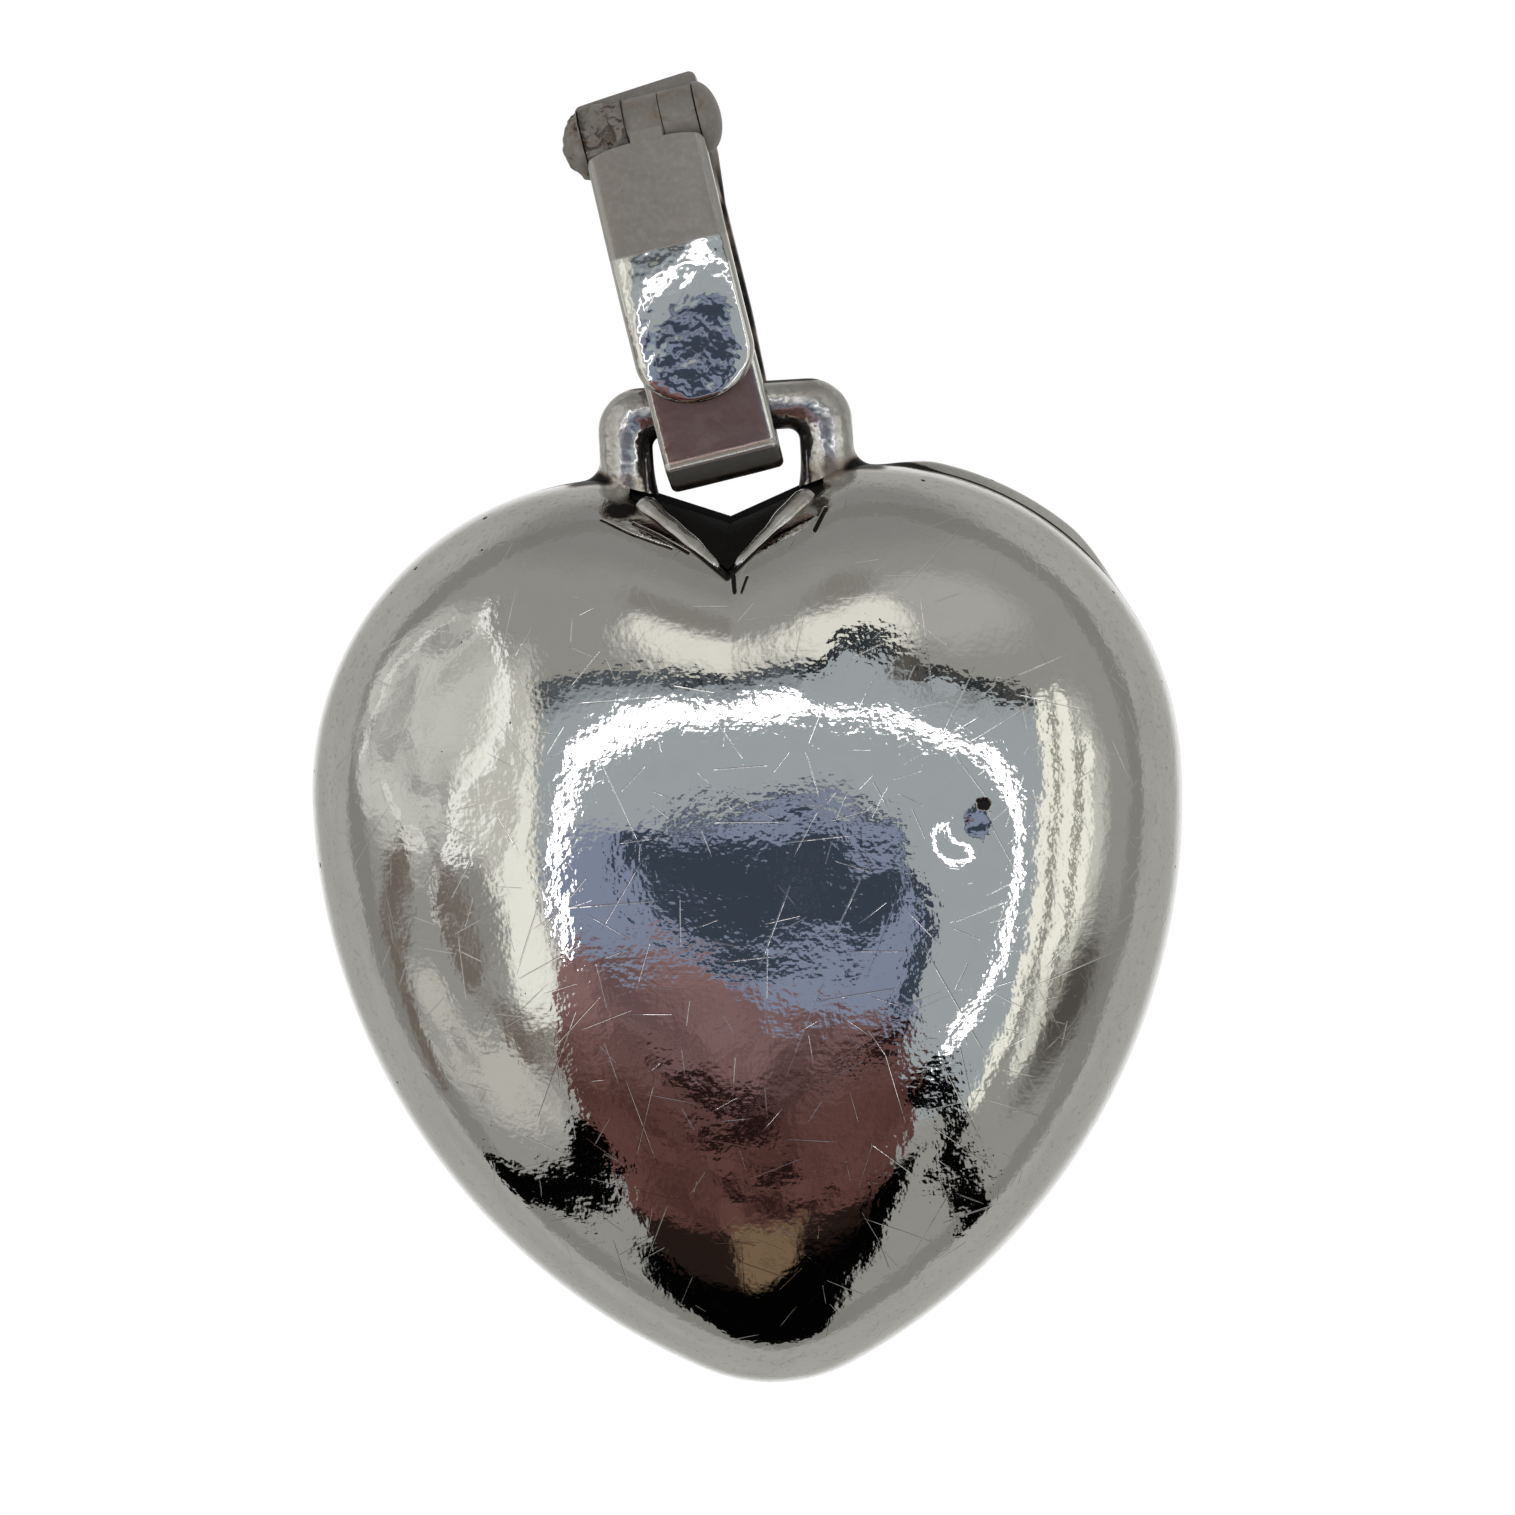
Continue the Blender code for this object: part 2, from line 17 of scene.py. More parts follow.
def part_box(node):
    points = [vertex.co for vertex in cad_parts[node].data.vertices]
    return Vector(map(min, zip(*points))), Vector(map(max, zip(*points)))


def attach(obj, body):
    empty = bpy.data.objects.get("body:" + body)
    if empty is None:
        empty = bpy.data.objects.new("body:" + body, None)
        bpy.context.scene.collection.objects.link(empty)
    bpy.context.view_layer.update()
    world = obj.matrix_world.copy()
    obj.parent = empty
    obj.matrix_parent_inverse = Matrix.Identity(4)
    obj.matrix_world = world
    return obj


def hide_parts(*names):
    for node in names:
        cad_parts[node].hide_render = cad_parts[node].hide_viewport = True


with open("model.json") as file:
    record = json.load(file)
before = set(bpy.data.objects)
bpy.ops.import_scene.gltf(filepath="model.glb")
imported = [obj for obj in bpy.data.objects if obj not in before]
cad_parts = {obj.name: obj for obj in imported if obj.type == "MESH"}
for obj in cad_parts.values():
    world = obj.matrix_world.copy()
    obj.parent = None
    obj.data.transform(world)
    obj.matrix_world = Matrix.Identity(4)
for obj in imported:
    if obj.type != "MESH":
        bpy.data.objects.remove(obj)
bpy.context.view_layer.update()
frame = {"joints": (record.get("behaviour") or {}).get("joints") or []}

bl_info = {
    "name": "Puffy heart pendant",
    "version": (1, 0, 0),
    "blender": (4, 5, 0),
    "location": "View3D > Sidebar > Pendant",
    "description": "Models a hollow silver heart on a clip bail round its packed parts",
    "category": "Object",
}

MM = 0.001
JOINTS = {joint["name"]: joint for joint in frame["joints"]}
HEART_PLACE = Vector(JOINTS["heart_swing"]["pos_m"])
HINGE_PLACE = Vector(JOINTS["leaf_open"]["pos_m"])
BAIL_ACROSS = -Vector(JOINTS["leaf_open"]["axis"])
BAIL_UP = BAIL_ACROSS.cross(Vector((0, 1, 0)))
POINT_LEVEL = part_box("front_shell")[0].z


def length(name, description, millimetres):
    return bpy.props.FloatProperty(
        name=name, description=description, default=millimetres * MM, unit="LENGTH")


def rotation(name, description, turn):
    return bpy.props.FloatProperty(
        name=name, description=description, default=radians(turn), unit="ROTATION")


def tint(name, description, color):
    return bpy.props.FloatVectorProperty(
        name=name, description=description, default=color, subtype="COLOR", min=0, max=1)


class HeartSizes(bpy.types.PropertyGroup):
    """Sizes of the heart's two domes."""
    tip_radius: length("Tip radius", "Radius of the heart's point", 5.9)
    flank_radius: length("Flank radius", "Radius of the long sides", 22.2)
    lobe_radius: length("Lobe radius", "Radius of the two lobes", 10.85)
    shoulder_radius: length("Shoulder radius", "Radius where a lobe turns into the cleft", 4.0)
    front_depth: length("Front depth", "Height of the front dome", 7.0)
    back_depth: length("Back depth", "Height of the back dome", 6.0)
    crown_drop: length("Crown drop", "The domes' middle, below the tops of the lobes", 14.37)
    fullness: bpy.props.FloatProperty(
        name="Rim fullness", description="1 is an ellipse, and less is fuller at the rim",
        default=0.8, min=0.5, max=1)
    wall: length("Wall", "Thickness of the sheet", 0.6)
    loop_rise: length("Loop rise", "The loop bar's middle, above the lobes", 2.25)


class BailSizes(bpy.types.PropertyGroup):
    """Sizes of the bail's strap, leaf and hinge, and of the heart's fixed loop."""
    strap_width: length("Strap width", "Width of the strap at the hook", 4.0)
    strap_top_width: length("Strap top width", "Width of the strap at the hinge", 4.35)
    strap_thickness: length("Strap thickness", "Thickness of the strap", 0.9)
    leaf_width: length("Leaf width", "Width of the front leaf", 4.15)
    leaf_thickness: length("Leaf thickness", "Thickness of the front leaf", 0.9)
    edge_round: length("Edge round", "Radius of the strap's and leaf's edges", 0.22)
    left_knuckle: length("Left knuckle", "Radius of the left hinge tube", 1.3)
    knuckle: length("Knuckle", "Radius of the other hinge tubes", 1.2)
    loop_inside: length("Loop inside", "Width inside the fixed loop", 5.1)
    loop_leg: length("Loop leg", "Width of the loop's legs", 1.85)
    loop_bar: length("Loop bar", "Height of the loop's bar", 1.7)


class FinishColors(bpy.types.PropertyGroup):
    """Colours of the metal and its tarnish, and the red of a painted reflection."""
    polished: tint("Polished silver", "Bare silver on the raised places", (0.62, 0.61, 0.585))
    worn: tint("Worn silver", "Silver with a soft, handled finish", (0.58, 0.57, 0.545))
    # This red is a painted reflection of the warm tent, laid on the bail's lip.
    red: tint("Red tarnish", "The reddish film inside the bail's lip", (0.33, 0.225, 0.19))
    soot: tint("Black tarnish", "Black oxide in the corners", (0.006, 0.005, 0.0045))
    skin: tint("Dull skin", "Unpolished silver and solder", (0.30, 0.275, 0.25))
    brown: tint("Brown tarnish", "Warm tarnish beside the black", (0.30, 0.245, 0.20))


class StageSettings(bpy.types.PropertyGroup):
    """The camera's place and the floor's level."""
    azimuth: rotation("Azimuth", "The camera's angle to the right of the front", 2.95)
    elevation: rotation("Elevation", "The camera's angle above level", 2.63)
    roll: rotation("Roll", "The camera's turn about its own line of sight", -3.39)
    distance: length("Distance", "From the camera to the middle of the view", 402.7)
    lens: bpy.props.FloatProperty(
        name="Lens", description="Focal length",
        default=276.4, subtype="DISTANCE_CAMERA")
    floor_level: length("Floor level", "Height of the floor under the hanging pendant", -100)


VIEW_MIDDLE = Vector((2.43, 0, -20.65)) * MM
SENSOR = 36
TENT_RIPPLE = 5  # in degrees

TIP_TURN = radians(26)
FLANK_TURN = radians(91)
LOBE_TURN = radians(176)
CLEFT_TURN = radians(201)
VALLEY = (radians(18), radians(72))
SKIRT = 0.15 * MM
SEAT_GAP = 0.05 * MM
RUN_GAP = 0.08 * MM
CLOSE_GAP = 0.025 * MM
OUTLINE_STEPS = (10, 45, 66, 14, 12)
DOME_RINGS = 78

DENTS = (  # across, up, radius and depth, in millimetres
    (7.5, -14.87, 0.62, 0.2),
    (-9.3, -9.6, 1.1, 0.06),
    (-8.9, -13.2, 0.9, 0.05),
    (-9.6, -16.9, 1.2, 0.06),
    (4.6, -8.2, 0.9, 0.03),
    (-3.2, -7.9, 0.8, 0.03),
)
DENTED_FROM = (1.5 * MM, 3 * MM)  # forward of the seam
BULGE = 0.34 * MM
BULGE_START, BULGE_END = (34, 46), (63, 71)  # degrees up round the heart's middle
BULGE_STEP, BULGE_FADE = (0.03 * MM, 0.45 * MM), (2 * MM, 4 * MM)  # behind the seam

# Cleft cut and the folded strip in it
CUT_BACK_DROP = 0.5 * MM
CUT_TIP_DROP = 1.95 * MM
CUT_TIP_DEPTH = 4.55 * MM
CUT_REACH = 1.3
HALVINGS = 30
CUT_SLOPE = radians(41)
CUT_SWEEP = radians(30)
STRIP_HALF_WIDTH = 3.3 * MM
STRIP_THICKNESS = 0.5 * MM
STRIP_SUNK = 0.22 * MM
BEAD_ENDS = ((0.25 * MM, 0.15 * MM), (3.0 * MM, 0.46 * MM))  # across, and radius there
BEAD_SWELL = 0.8
BEAD_DEPTH = 0.2 * MM
BEAD_STEPS = 26
BEAD_SIDES = 20
BEAD_LUMPS = ((0.10, 9, 1.5), (0.05, 23, 0))  # share, turn along the bead, and turn by side
BEAD_END = 12
STRIP_STEPS = [0.02 + 1.48 * step / 24 for step in range(25)]

# Fixed loop
LOOP_DEPTH = 1.7 * MM
LOOP_OUTER_RADIUS = 1.5 * MM
LOOP_INNER_RADIUS = 0.4 * MM
LOOP_FULLNESS = 0.95
FILLET_WIDTH = 0.7 * MM
FILLET_HEIGHT = 0.7 * MM
FILLET_DEPTH = 1.2 * MM
WEDGE_STEPS = (-1, -0.9, -0.6, 0, 0.6, 0.9, 1)
WEDGE_ROUND = 0.9
INNER_FILLET = (0.3 * MM, 1.5 * MM, -3.1 * MM)  # width, height and level of its foot

# Bail, from the hook: forward and back of the loop's bar, and up along the bail
HINGE_RISE = 9.85 * MM
HINGE_FORWARD = 0.6 * MM
STRAP_FRONT = 2.25 * MM
STRAP_BACK = 3.3 * MM
LIP_RISE = 1.6 * MM
HOOK_CORNERS = (  # back, up and radius, in millimetres
    (-1.99, -1.5, 0.3),
    (-2.1, -1.74, 0.1),
    (-0.9, -2.52, 0.5),
    (0.95, -2.52, 1.7),
    (2.55, -0.88, 1.7),
    (3.3, 2.95, 4.0),
    (3.3, 6.8, 0),
)
FLARE_RISE = 6.8 * MM
FLARE_LENGTH = 1.7 * MM
STRAP_END_BACK = 0.7 * MM
STRAP_TOP_RISE = 0.3 * MM
STRAP_DROOP = 0.3 * MM
DROOP_DEPTHS = (1.5 * MM, 0.9 * MM)
STRAP_TWIST = 0.12 * MM
TWIST_BACK, TWIST_RISE = (-1.2 * MM, 1.6 * MM), (-1.5 * MM, 3.2 * MM)
LEAF_END_RISE = 0.3 * MM
LEAF_END_LENGTH = 1.7 * MM
LEAF_END_STEPS = 18
LEAF_END_TURN = radians(86)
LEAF_BOW_LOW = 2.9 * MM
LEAF_BOW_TOP = 5.75 * MM
LEAF_BOW_BACK = 0.3 * MM
LEAF_BOW_RADIUS = 11.0 * MM
LEAF_BEND_RADIUS = 1.5 * MM
LEAF_TOUCH = 1.22 * MM
LEAF_CROWN = 0.16 * MM
LEFT_SPLIT = -0.46 * MM
RIGHT_SPLIT = 0.76 * MM
PIN_RADIUS = 0.4 * MM
HEAD_RADIUS = 1.27 * MM
HEAD_HEIGHT = 0.72 * MM
KNUCKLE_CHAMFER = 0.015 * MM
COARSE_LUMP, COARSE_RELIEF = 0.75 * MM, 0.24 * MM
FINE_LUMP, FINE_RELIEF = 0.28 * MM, 0.12 * MM
LUMP_SHIFT = Vector((3.1, 1.7, 5.3))
LUMP_SINK = 0.08 * MM
LUMPY_FROM = 0.2 * MM
SNAP_RADIUS = 0.42 * MM
SNAP_HEIGHT = 0.3 * MM
SNAP_STEPS = 8
HEAD_STEPS = 16
TUBE_STEPS = 14

# Smoothness
LEAST_BEND = 0.14 * MM
BEND_STEPS = 12
CORNER_STEPS = 5
FACE_STEPS = 14
CROWN_POWER = 4.0
WIRE_STEPS = 40
ROUND_STEPS = 64


class Value:
    """One socket's output, on which arithmetic adds Math nodes."""

    def __init__(self, tree, socket):
        self.tree = tree
        self.socket = socket

    def math(self, operation, *others):
        return self.tree.add("ShaderNodeMath", {"operation": operation}, (self, *others))

    def __add__(self, other):
        return self.math("ADD", other)

    def __sub__(self, other):
        return self.math("SUBTRACT", other)

    def __mul__(self, other):
        return self.math("MULTIPLY", other)

    def __truediv__(self, other):
        return self.math("DIVIDE", other)

    def __pow__(self, other):
        return self.math("POWER", other)

    def __neg__(self):
        return self.math("MULTIPLY", -1)

    def __abs__(self):
        return self.math("ABSOLUTE")

    def __rsub__(self, other):
        return self.tree.add("ShaderNodeMath", {"operation": "SUBTRACT"}, (other, self))

    __radd__ = __add__
    __rmul__ = __mul__

    def least(self, other):
        return self.math("MINIMUM", other)

    def most(self, other):
        return self.math("MAXIMUM", other)

    def clamped(self):
        return self.least(1).most(0)

    def smooth(self, low, high):
        """0 below low and 1 above high, with a smooth step between them."""
        return self.tree.add(
            "ShaderNodeMapRange", {"interpolation_type": "SMOOTHSTEP"}, (self, low, high, 0, 1))


class Nodes:
    """A node tree, to which one method adds every node."""

    def __init__(self, tree):
        self.tree = tree
        tree.nodes.clear()

    def add(self, kind, settings=None, values=(), output=0):
        node = self.tree.nodes.new(kind)
        for name, setting in (settings or {}).items():
            if name == "stops":
                self.set_stops(node.color_ramp, setting)
            else:
                setattr(node, name, setting)
        pairs = values.items() if isinstance(values, dict) else enumerate(values)
        for name, value in pairs:
            if isinstance(value, Value):
                self.tree.links.new(value.socket, node.inputs[name])
            elif value is not None:
                node.inputs[name].default_value = value
        return Value(self, node.outputs[output]) if node.outputs else None

    @staticmethod
    def set_stops(ramp, stops):
        for place, shade in stops[2:]:
            ramp.elements.new(place)
        for element, (place, shade) in zip(ramp.elements, stops):
            element.position = place
            element.color = (shade, shade, shade, 1)

    def mix(self, share, first, second):
        """From the first colour to the second, by a share from 0 to 1."""
        def full(colour):
            return colour if isinstance(colour, Value) else (*colour, 1)
        return self.add(
            "ShaderNodeMix", {"data_type": "RGBA"}, {0: share, 6: full(first), 7: full(second)}, 2)

    def vector(self, operation, *values):
        return self.add("ShaderNodeVectorMath", {"operation": operation}, values)

    def split(self, vector):
        node = self.add("ShaderNodeSeparateXYZ", None, (vector,)).socket.node
        return [Value(self, output) for output in node.outputs]

    def noise(self, place, scale, detail=2.0, roughness=0.5, distortion=0.0):
        return self.add("ShaderNodeTexNoise", None, {
            "Vector": place, "Scale": scale, "Detail": detail,
            "Roughness": roughness, "Distortion": distortion})

    def profile(self, value, points):
        """A line of straight stretches over the value, through (value, height) points."""
        height = points[0][1]
        for (start, low), (end, high) in zip(points, points[1:]):
            run = (value - start).most(0).least(end - start)
            height = run * ((high - low) / (end - start)) + height
        return height

    def stroke(self, across, up, points, width, fade):
        """1 along a line through points, falling to 0 over the fade beyond its half width."""
        offs = []
        for (x, y), (next_x, next_y) in zip(points, points[1:]):
            run, rise = next_x - x, next_y - y
            share = ((across - x) * run + (up - y) * rise) / (run * run + rise * rise)
            share = share.clamped()
            offs.append((across - x - share * run) ** 2 + (up - y - share * rise) ** 2)
        return 1 - (reduce(Value.least, offs) ** 0.5).smooth(width, width + fade)

    def strokes(self, across, up, lines, fade):
        """The strongest of several strokes, each with its points and half width."""
        return reduce(Value.most, [
            self.stroke(across, up, points, width, fade) for points, width in lines])

    def oval(self, across, up, middle, radii, fade):
        """1 inside an oval, falling to 0 over the fade, which is a share of its radii."""
        wide = (across - middle[0]) / radii[0]
        tall = (up - middle[1]) / radii[1]
        return 1 - ((wide * wide + tall * tall) ** 0.5).smooth(1 - fade, 1)


def band(value, low, high, fade):
    """1 between low and high, falling to 0 over the fade on both sides."""
    return value.smooth(low - fade, low) * (1 - value.smooth(high, high + fade))


def linear(shade):
    """A display shade from 0 to 255 as light."""
    share = shade / 255
    return share / 12.92 if share <= 0.04045 else ((share + 0.055) / 1.055) ** 2.4


def seen(red, green, blue):
    """The light that polished silver shows as this display colour."""
    silver = bpy.context.scene.pendant_finish.polished
    return tuple(linear(shade) / tone for shade, tone in zip((red, green, blue), silver))


def pushed(thing, move):
    """Moves every point of a mesh by what the function gives for it."""
    moves = [move(vert) for vert in thing.data.vertices]
    for vert, step in zip(thing.data.vertices, moves):
        vert.co += step
    thing.data.update()


def eased(value, low, high):
    """0 below low and 1 above high, with a smooth step between them."""
    share = min(max((value - low) / (high - low), 0), 1)
    return share * share * (3 - 2 * share)


def lumps(spot):
    """How far rough solder stands out of true at a place, in its own frame."""
    coarse = noise.noise(spot / COARSE_LUMP + LUMP_SHIFT)
    fine = noise.noise(spot / FINE_LUMP)
    return COARSE_RELIEF * coarse + FINE_RELIEF * fine - LUMP_SINK


def deselect():
    if bpy.context.object and bpy.context.object.mode != "OBJECT":
        bpy.ops.object.mode_set(mode="OBJECT")
    bpy.ops.object.select_all(action="DESELECT")


def drawn_out(name, rings, start="OPEN", end="OPEN"):
    """A mesh drawn out ring by ring: a circle is set on the first ring, then extruded.

    An end is left open, filled with one face, or merged to a point at its middle.
    """
    deselect()
    bpy.ops.mesh.primitive_circle_add(vertices=len(rings[0]), radius=MM, enter_editmode=True)
    thing = bpy.context.object
    thing.name = thing.data.name = name
    thing.location = (0, 0, 0)
    bm = bmesh.from_edit_mesh(thing.data)
    step = bm.verts.layers.int.new("step")
    row = bm.verts.layers.int.new("row")
    for number, vert in enumerate(bm.verts):
        vert[step] = number
        vert.co = rings[0][number]
    for number, ring in enumerate(rings[1:], 1):
        bpy.ops.mesh.extrude_region()
        bm = bmesh.from_edit_mesh(thing.data)
        step = bm.verts.layers.int["step"]
        row = bm.verts.layers.int["row"]
        for vert in bm.verts:
            if vert.select:
                vert.co = ring[vert[step]]
                vert[row] = number
    for number, closing in ((len(rings) - 1, end), (0, start)):
        bpy.ops.mesh.select_all(action="DESELECT")
        bm = bmesh.from_edit_mesh(thing.data)
        row = bm.verts.layers.int["row"]
        for vert in bm.verts:
            vert.select = vert[row] == number
        bm.select_flush(True)
        bmesh.update_edit_mesh(thing.data)
        if closing == "FILL":
            bpy.ops.mesh.edge_face_add()
        elif closing == "MERGE":
            bpy.ops.mesh.merge(type="CENTER")
    bpy.ops.mesh.select_all(action="SELECT")
    bpy.ops.mesh.normals_make_consistent(inside=False)
    bpy.ops.object.mode_set(mode="OBJECT")
    return thing


def turned(name, profile, closed=False):
    """A solid turned about the X axis, from (place along it, radius) pairs."""
    deselect()
    bpy.ops.mesh.primitive_circle_add(vertices=len(profile), radius=MM, enter_editmode=True)
    thing = bpy.context.object
    thing.name = thing.data.name = name
    bm = bmesh.from_edit_mesh(thing.data)
    bm.verts.ensure_lookup_table()
    for vert, (along, radius) in zip(bm.verts, profile):
        vert.co = (along, 0, radius)
    if not closed:
        bpy.ops.mesh.select_all(action="DESELECT")
        for vert in (bm.verts[0], bm.verts[-1]):
            vert.select = True
        bm.select_flush(True)
        for edge in bm.edges:
            edge.select = all(vert.select for vert in edge.verts)
        bmesh.update_edit_mesh(thing.data)
        bpy.ops.mesh.delete(type="EDGE")
    bpy.ops.mesh.select_all(action="SELECT")
    bpy.ops.mesh.spin(steps=ROUND_STEPS, angle=2 * pi, center=(0, 0, 0), axis=(1, 0, 0))
    bpy.ops.mesh.select_all(action="SELECT")
    bpy.ops.mesh.remove_doubles(threshold=MM / 1000)
    bpy.ops.mesh.normals_make_consistent(inside=False)
    bpy.ops.object.mode_set(mode="OBJECT")
    return thing


def cut(thing, tool, operation):
    """Cuts or joins one solid with another, which is then thrown away."""
    apply_modifier(thing, "BOOLEAN", object=tool, operation=operation, solver="EXACT")
    bpy.data.objects.remove(tool, do_unlink=True)


def apply_modifier(thing, kind, **settings):
    deselect()
    thing.select_set(True)
    bpy.context.view_layer.objects.active = thing
    modifier = thing.modifiers.new(kind.lower(), kind)
    for name, setting in settings.items():
        setattr(modifier, name, setting)
    bpy.ops.object.modifier_apply(modifier=modifier.name)


def dress(thing, place, body, slot, material, nodes, sharp=35):
    """Sets a piece in its place with its mesh there, and gives it its finish and its body."""
    deselect()
    thing.select_set(True)
    bpy.context.view_layer.objects.active = thing
    thing.matrix_world = place
    bpy.ops.object.transform_apply(location=True, rotation=True, scale=True)
    bpy.ops.object.shade_smooth_by_angle(angle=radians(sharp), keep_sharp_edges=False)
    thing.data.materials.clear()
    thing.data.materials.append(material)
    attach(thing, body)
    if nodes:
        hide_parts(*nodes)
    return thing


def heart_frame():
    return Matrix.Translation(HEART_PLACE)


def axes_frame(origin):
    """The bail's axes, from a point on it."""
    turn = Matrix((BAIL_ACROSS, Vector((0, 1, 0)), BAIL_UP)).transposed()
    return Matrix.Translation(origin) @ turn.to_4x4()


def bail_frame():
    return axes_frame(HINGE_PLACE - BAIL_UP * HINGE_RISE + Vector((0, HINGE_FORWARD, 0)))


def hinge_frame():
    return axes_frame(HINGE_PLACE)


def rounded_path(corners, offset=0.0):
    """Points along a polyline of (across, up, radius) corners, its inner ones rounded.

    With an offset the path lies that far to its left. Two offsets match point by point.
    """
    spots = [Vector(corner[:2]) for corner in corners]
    ways = [(b - a).normalized() for a, b in zip(spots, spots[1:])]
    sides = [Vector((-way.y, way.x)) for way in ways]
    points = [spots[0] + offset * sides[0]]
    for i, (_, _, radius) in enumerate(corners[1:-1]):
        angle = atan2(ways[i].cross(ways[i + 1]), ways[i].dot(ways[i + 1]))
        mitre = (sides[i] + sides[i + 1]) / (1 + sides[i].dot(sides[i + 1]))
        corner = spots[i + 1] + offset * mitre
        if abs(angle) < 1e-6:
            points.append(corner)
            continue
        left = copysign(1, angle)
        bend = max(radius - offset * left, LEAST_BEND)
        start = corner - bend * tan(abs(angle) / 2) * ways[i]
        center = start + bend * left * sides[i]
        arm = start - center
        for step in range(BEND_STEPS + 1):
            part = angle * step / BEND_STEPS
            points.append(center + Vector((
                arm.x * cos(part) - arm.y * sin(part),
                arm.x * sin(part) + arm.y * cos(part),
            )))
    points.append(spots[-1] + offset * sides[-1])
    return points


def plate_section(half_thickness, half_width, rounding, crown):
    """A rounded oblong as (through the plate, across it), with its outer face domed."""
    rounding = min(rounding, half_width * 0.9, half_thickness * 0.9)
    section = []
    for quarter in range(4):
        side = 1 if quarter in (0, 3) else -1
        edge = 1 if quarter in (0, 1) else -1
        for step in range(CORNER_STEPS + 1):
            angle = pi / 2 * (quarter + step / CORNER_STEPS)
            section.append((
                side * (half_thickness - rounding) + rounding * cos(angle),
                edge * (half_width - rounding) + rounding * sin(angle),
            ))
        if quarter in (1, 3):
            start = edge * (half_width - rounding)
            for step in range(1, FACE_STEPS):
                section.append((side * half_thickness, start * (1 - 2 * step / FACE_STEPS)))
    domed = []
    for deep, across in section:
        share = (deep / half_thickness + 1) / 2
        domed.append((deep - share * crown * abs(across / half_width) ** CROWN_POWER, across))
    return domed


def plate_rings(outer, inner, half_widths, rounding, crown, thins=None):
    """Rings of a plate that follows two matching paths in the YZ plane, with its width along X."""
    rings = []
    for i, (out_point, in_point) in enumerate(zip(outer, inner)):
        middle = (out_point + in_point) / 2
        across = (out_point - in_point) / 2
        way = across.normalized()
        half_thickness = across.length * (thins[i] if thins else 1)
        ring = []
        for deep, side in plate_section(half_thickness, half_widths[i], rounding, crown):
            spot = middle + way * deep
            ring.append((side, spot.x, spot.y))
        rings.append(ring)
    return rings


def half_outline(inset=0.0):
    """The right half of the heart at its seam, as (x, z) from the point up to the cleft."""
    sizes = bpy.context.scene.pendant_heart
    arcs = (
        (sizes.tip_radius, TIP_TURN),
        (sizes.flank_radius, FLANK_TURN),
        (sizes.lobe_radius, LOBE_TURN),
        (sizes.shoulder_radius, CLEFT_TURN),
    )
    x, z, heading = 0.0, inset, 0.0
    points = [(x, z)]
    for (radius, end), steps in zip(arcs, OUTLINE_STEPS):
        bend = radius - inset
        for step in range(1, steps + 1):
            turn = heading + (end - heading) * step / steps
            points.append((
                x + bend * (sin(turn) - sin(heading)),
                z - bend * (cos(turn) - cos(heading)),
            ))
        x, z = points[-1]
        heading = end
    run = x / -cos(heading)
    for step in range(1, OUTLINE_STEPS[-1] + 1):
        share = run * step / OUTLINE_STEPS[-1]
        points.append((x + share * cos(heading), z + share * sin(heading)))
    return points


def lobe_top():
    """Height of the lobes above the heart's point, as packed."""
    return HEART_PLACE.z - POINT_LEVEL - bpy.context.scene.pendant_heart.loop_rise


def ring_shape(angle):
    """How far a ring at this angle up the dome shrinks, and how far the cleft fills up there."""
    fade = min(max((angle - VALLEY[0]) / (VALLEY[1] - VALLEY[0]), 0), 1)
    return cos(angle) ** bpy.context.scene.pendant_heart.fullness, fade * fade * (3 - 2 * fade)


def dome_rings(depth, side, inset=0.0):
    """Rings of one dome from the seam to its crown, in the heart's frame."""
    sizes = bpy.context.scene.pendant_heart
    half = half_outline(inset)
    peak_x, peak_z = max(half, key=lambda spot: spot[1])
    crown = lobe_top() - sizes.crown_drop
    drop = lobe_top() + sizes.loop_rise
    reach = depth - inset
    edge = half + [(-x, z) for x, z in half[-2:0:-1]]
    rings = [[(x, 0, z - drop) for x, z in edge]]
    for ring in range(DOME_RINGS):
        angle = pi / 2 * (1 - (1 - ring / DOME_RINGS) ** (1 / sizes.fullness))
        shrink, fade = ring_shape(angle)
        y = side * (SKIRT + (reach - SKIRT) * sin(angle))
        points = []
        for x, z in edge:
            in_cleft = abs(x) < peak_x and z > crown
            lifted = z + (peak_z - z) * fade if in_cleft else z
            points.append((x * shrink, y, crown + (lifted - crown) * shrink - drop))
        rings.append(points)
    rings.append([(0, side * reach, crown - drop)] * len(edge))
    return rings


def dome(name, depth, side, inset=0.0):
    """One dome as an open sheet."""
    thing = drawn_out(name, dome_rings(depth, side, inset), end="MERGE")
    for vert in thing.data.vertices:
        vert.co.y += side * SEAT_GAP / 2
    pushed(thing, front_dents if side < 0 else back_bulge)
    return thing


def front_dents(vert):
    """The front dome's dents: a round one right of the middle, and shallow ones on the left."""
    spot = vert.co
    step = 0.0
    for x, z, radius, depth in DENTS:
        off = ((spot.x - x * MM) ** 2 + (spot.z - z * MM) ** 2) / (radius * MM) ** 2
        step += depth * MM * exp(-off / 2)
    return Vector((0, step * eased(-spot.y, *DENTED_FROM), 0))


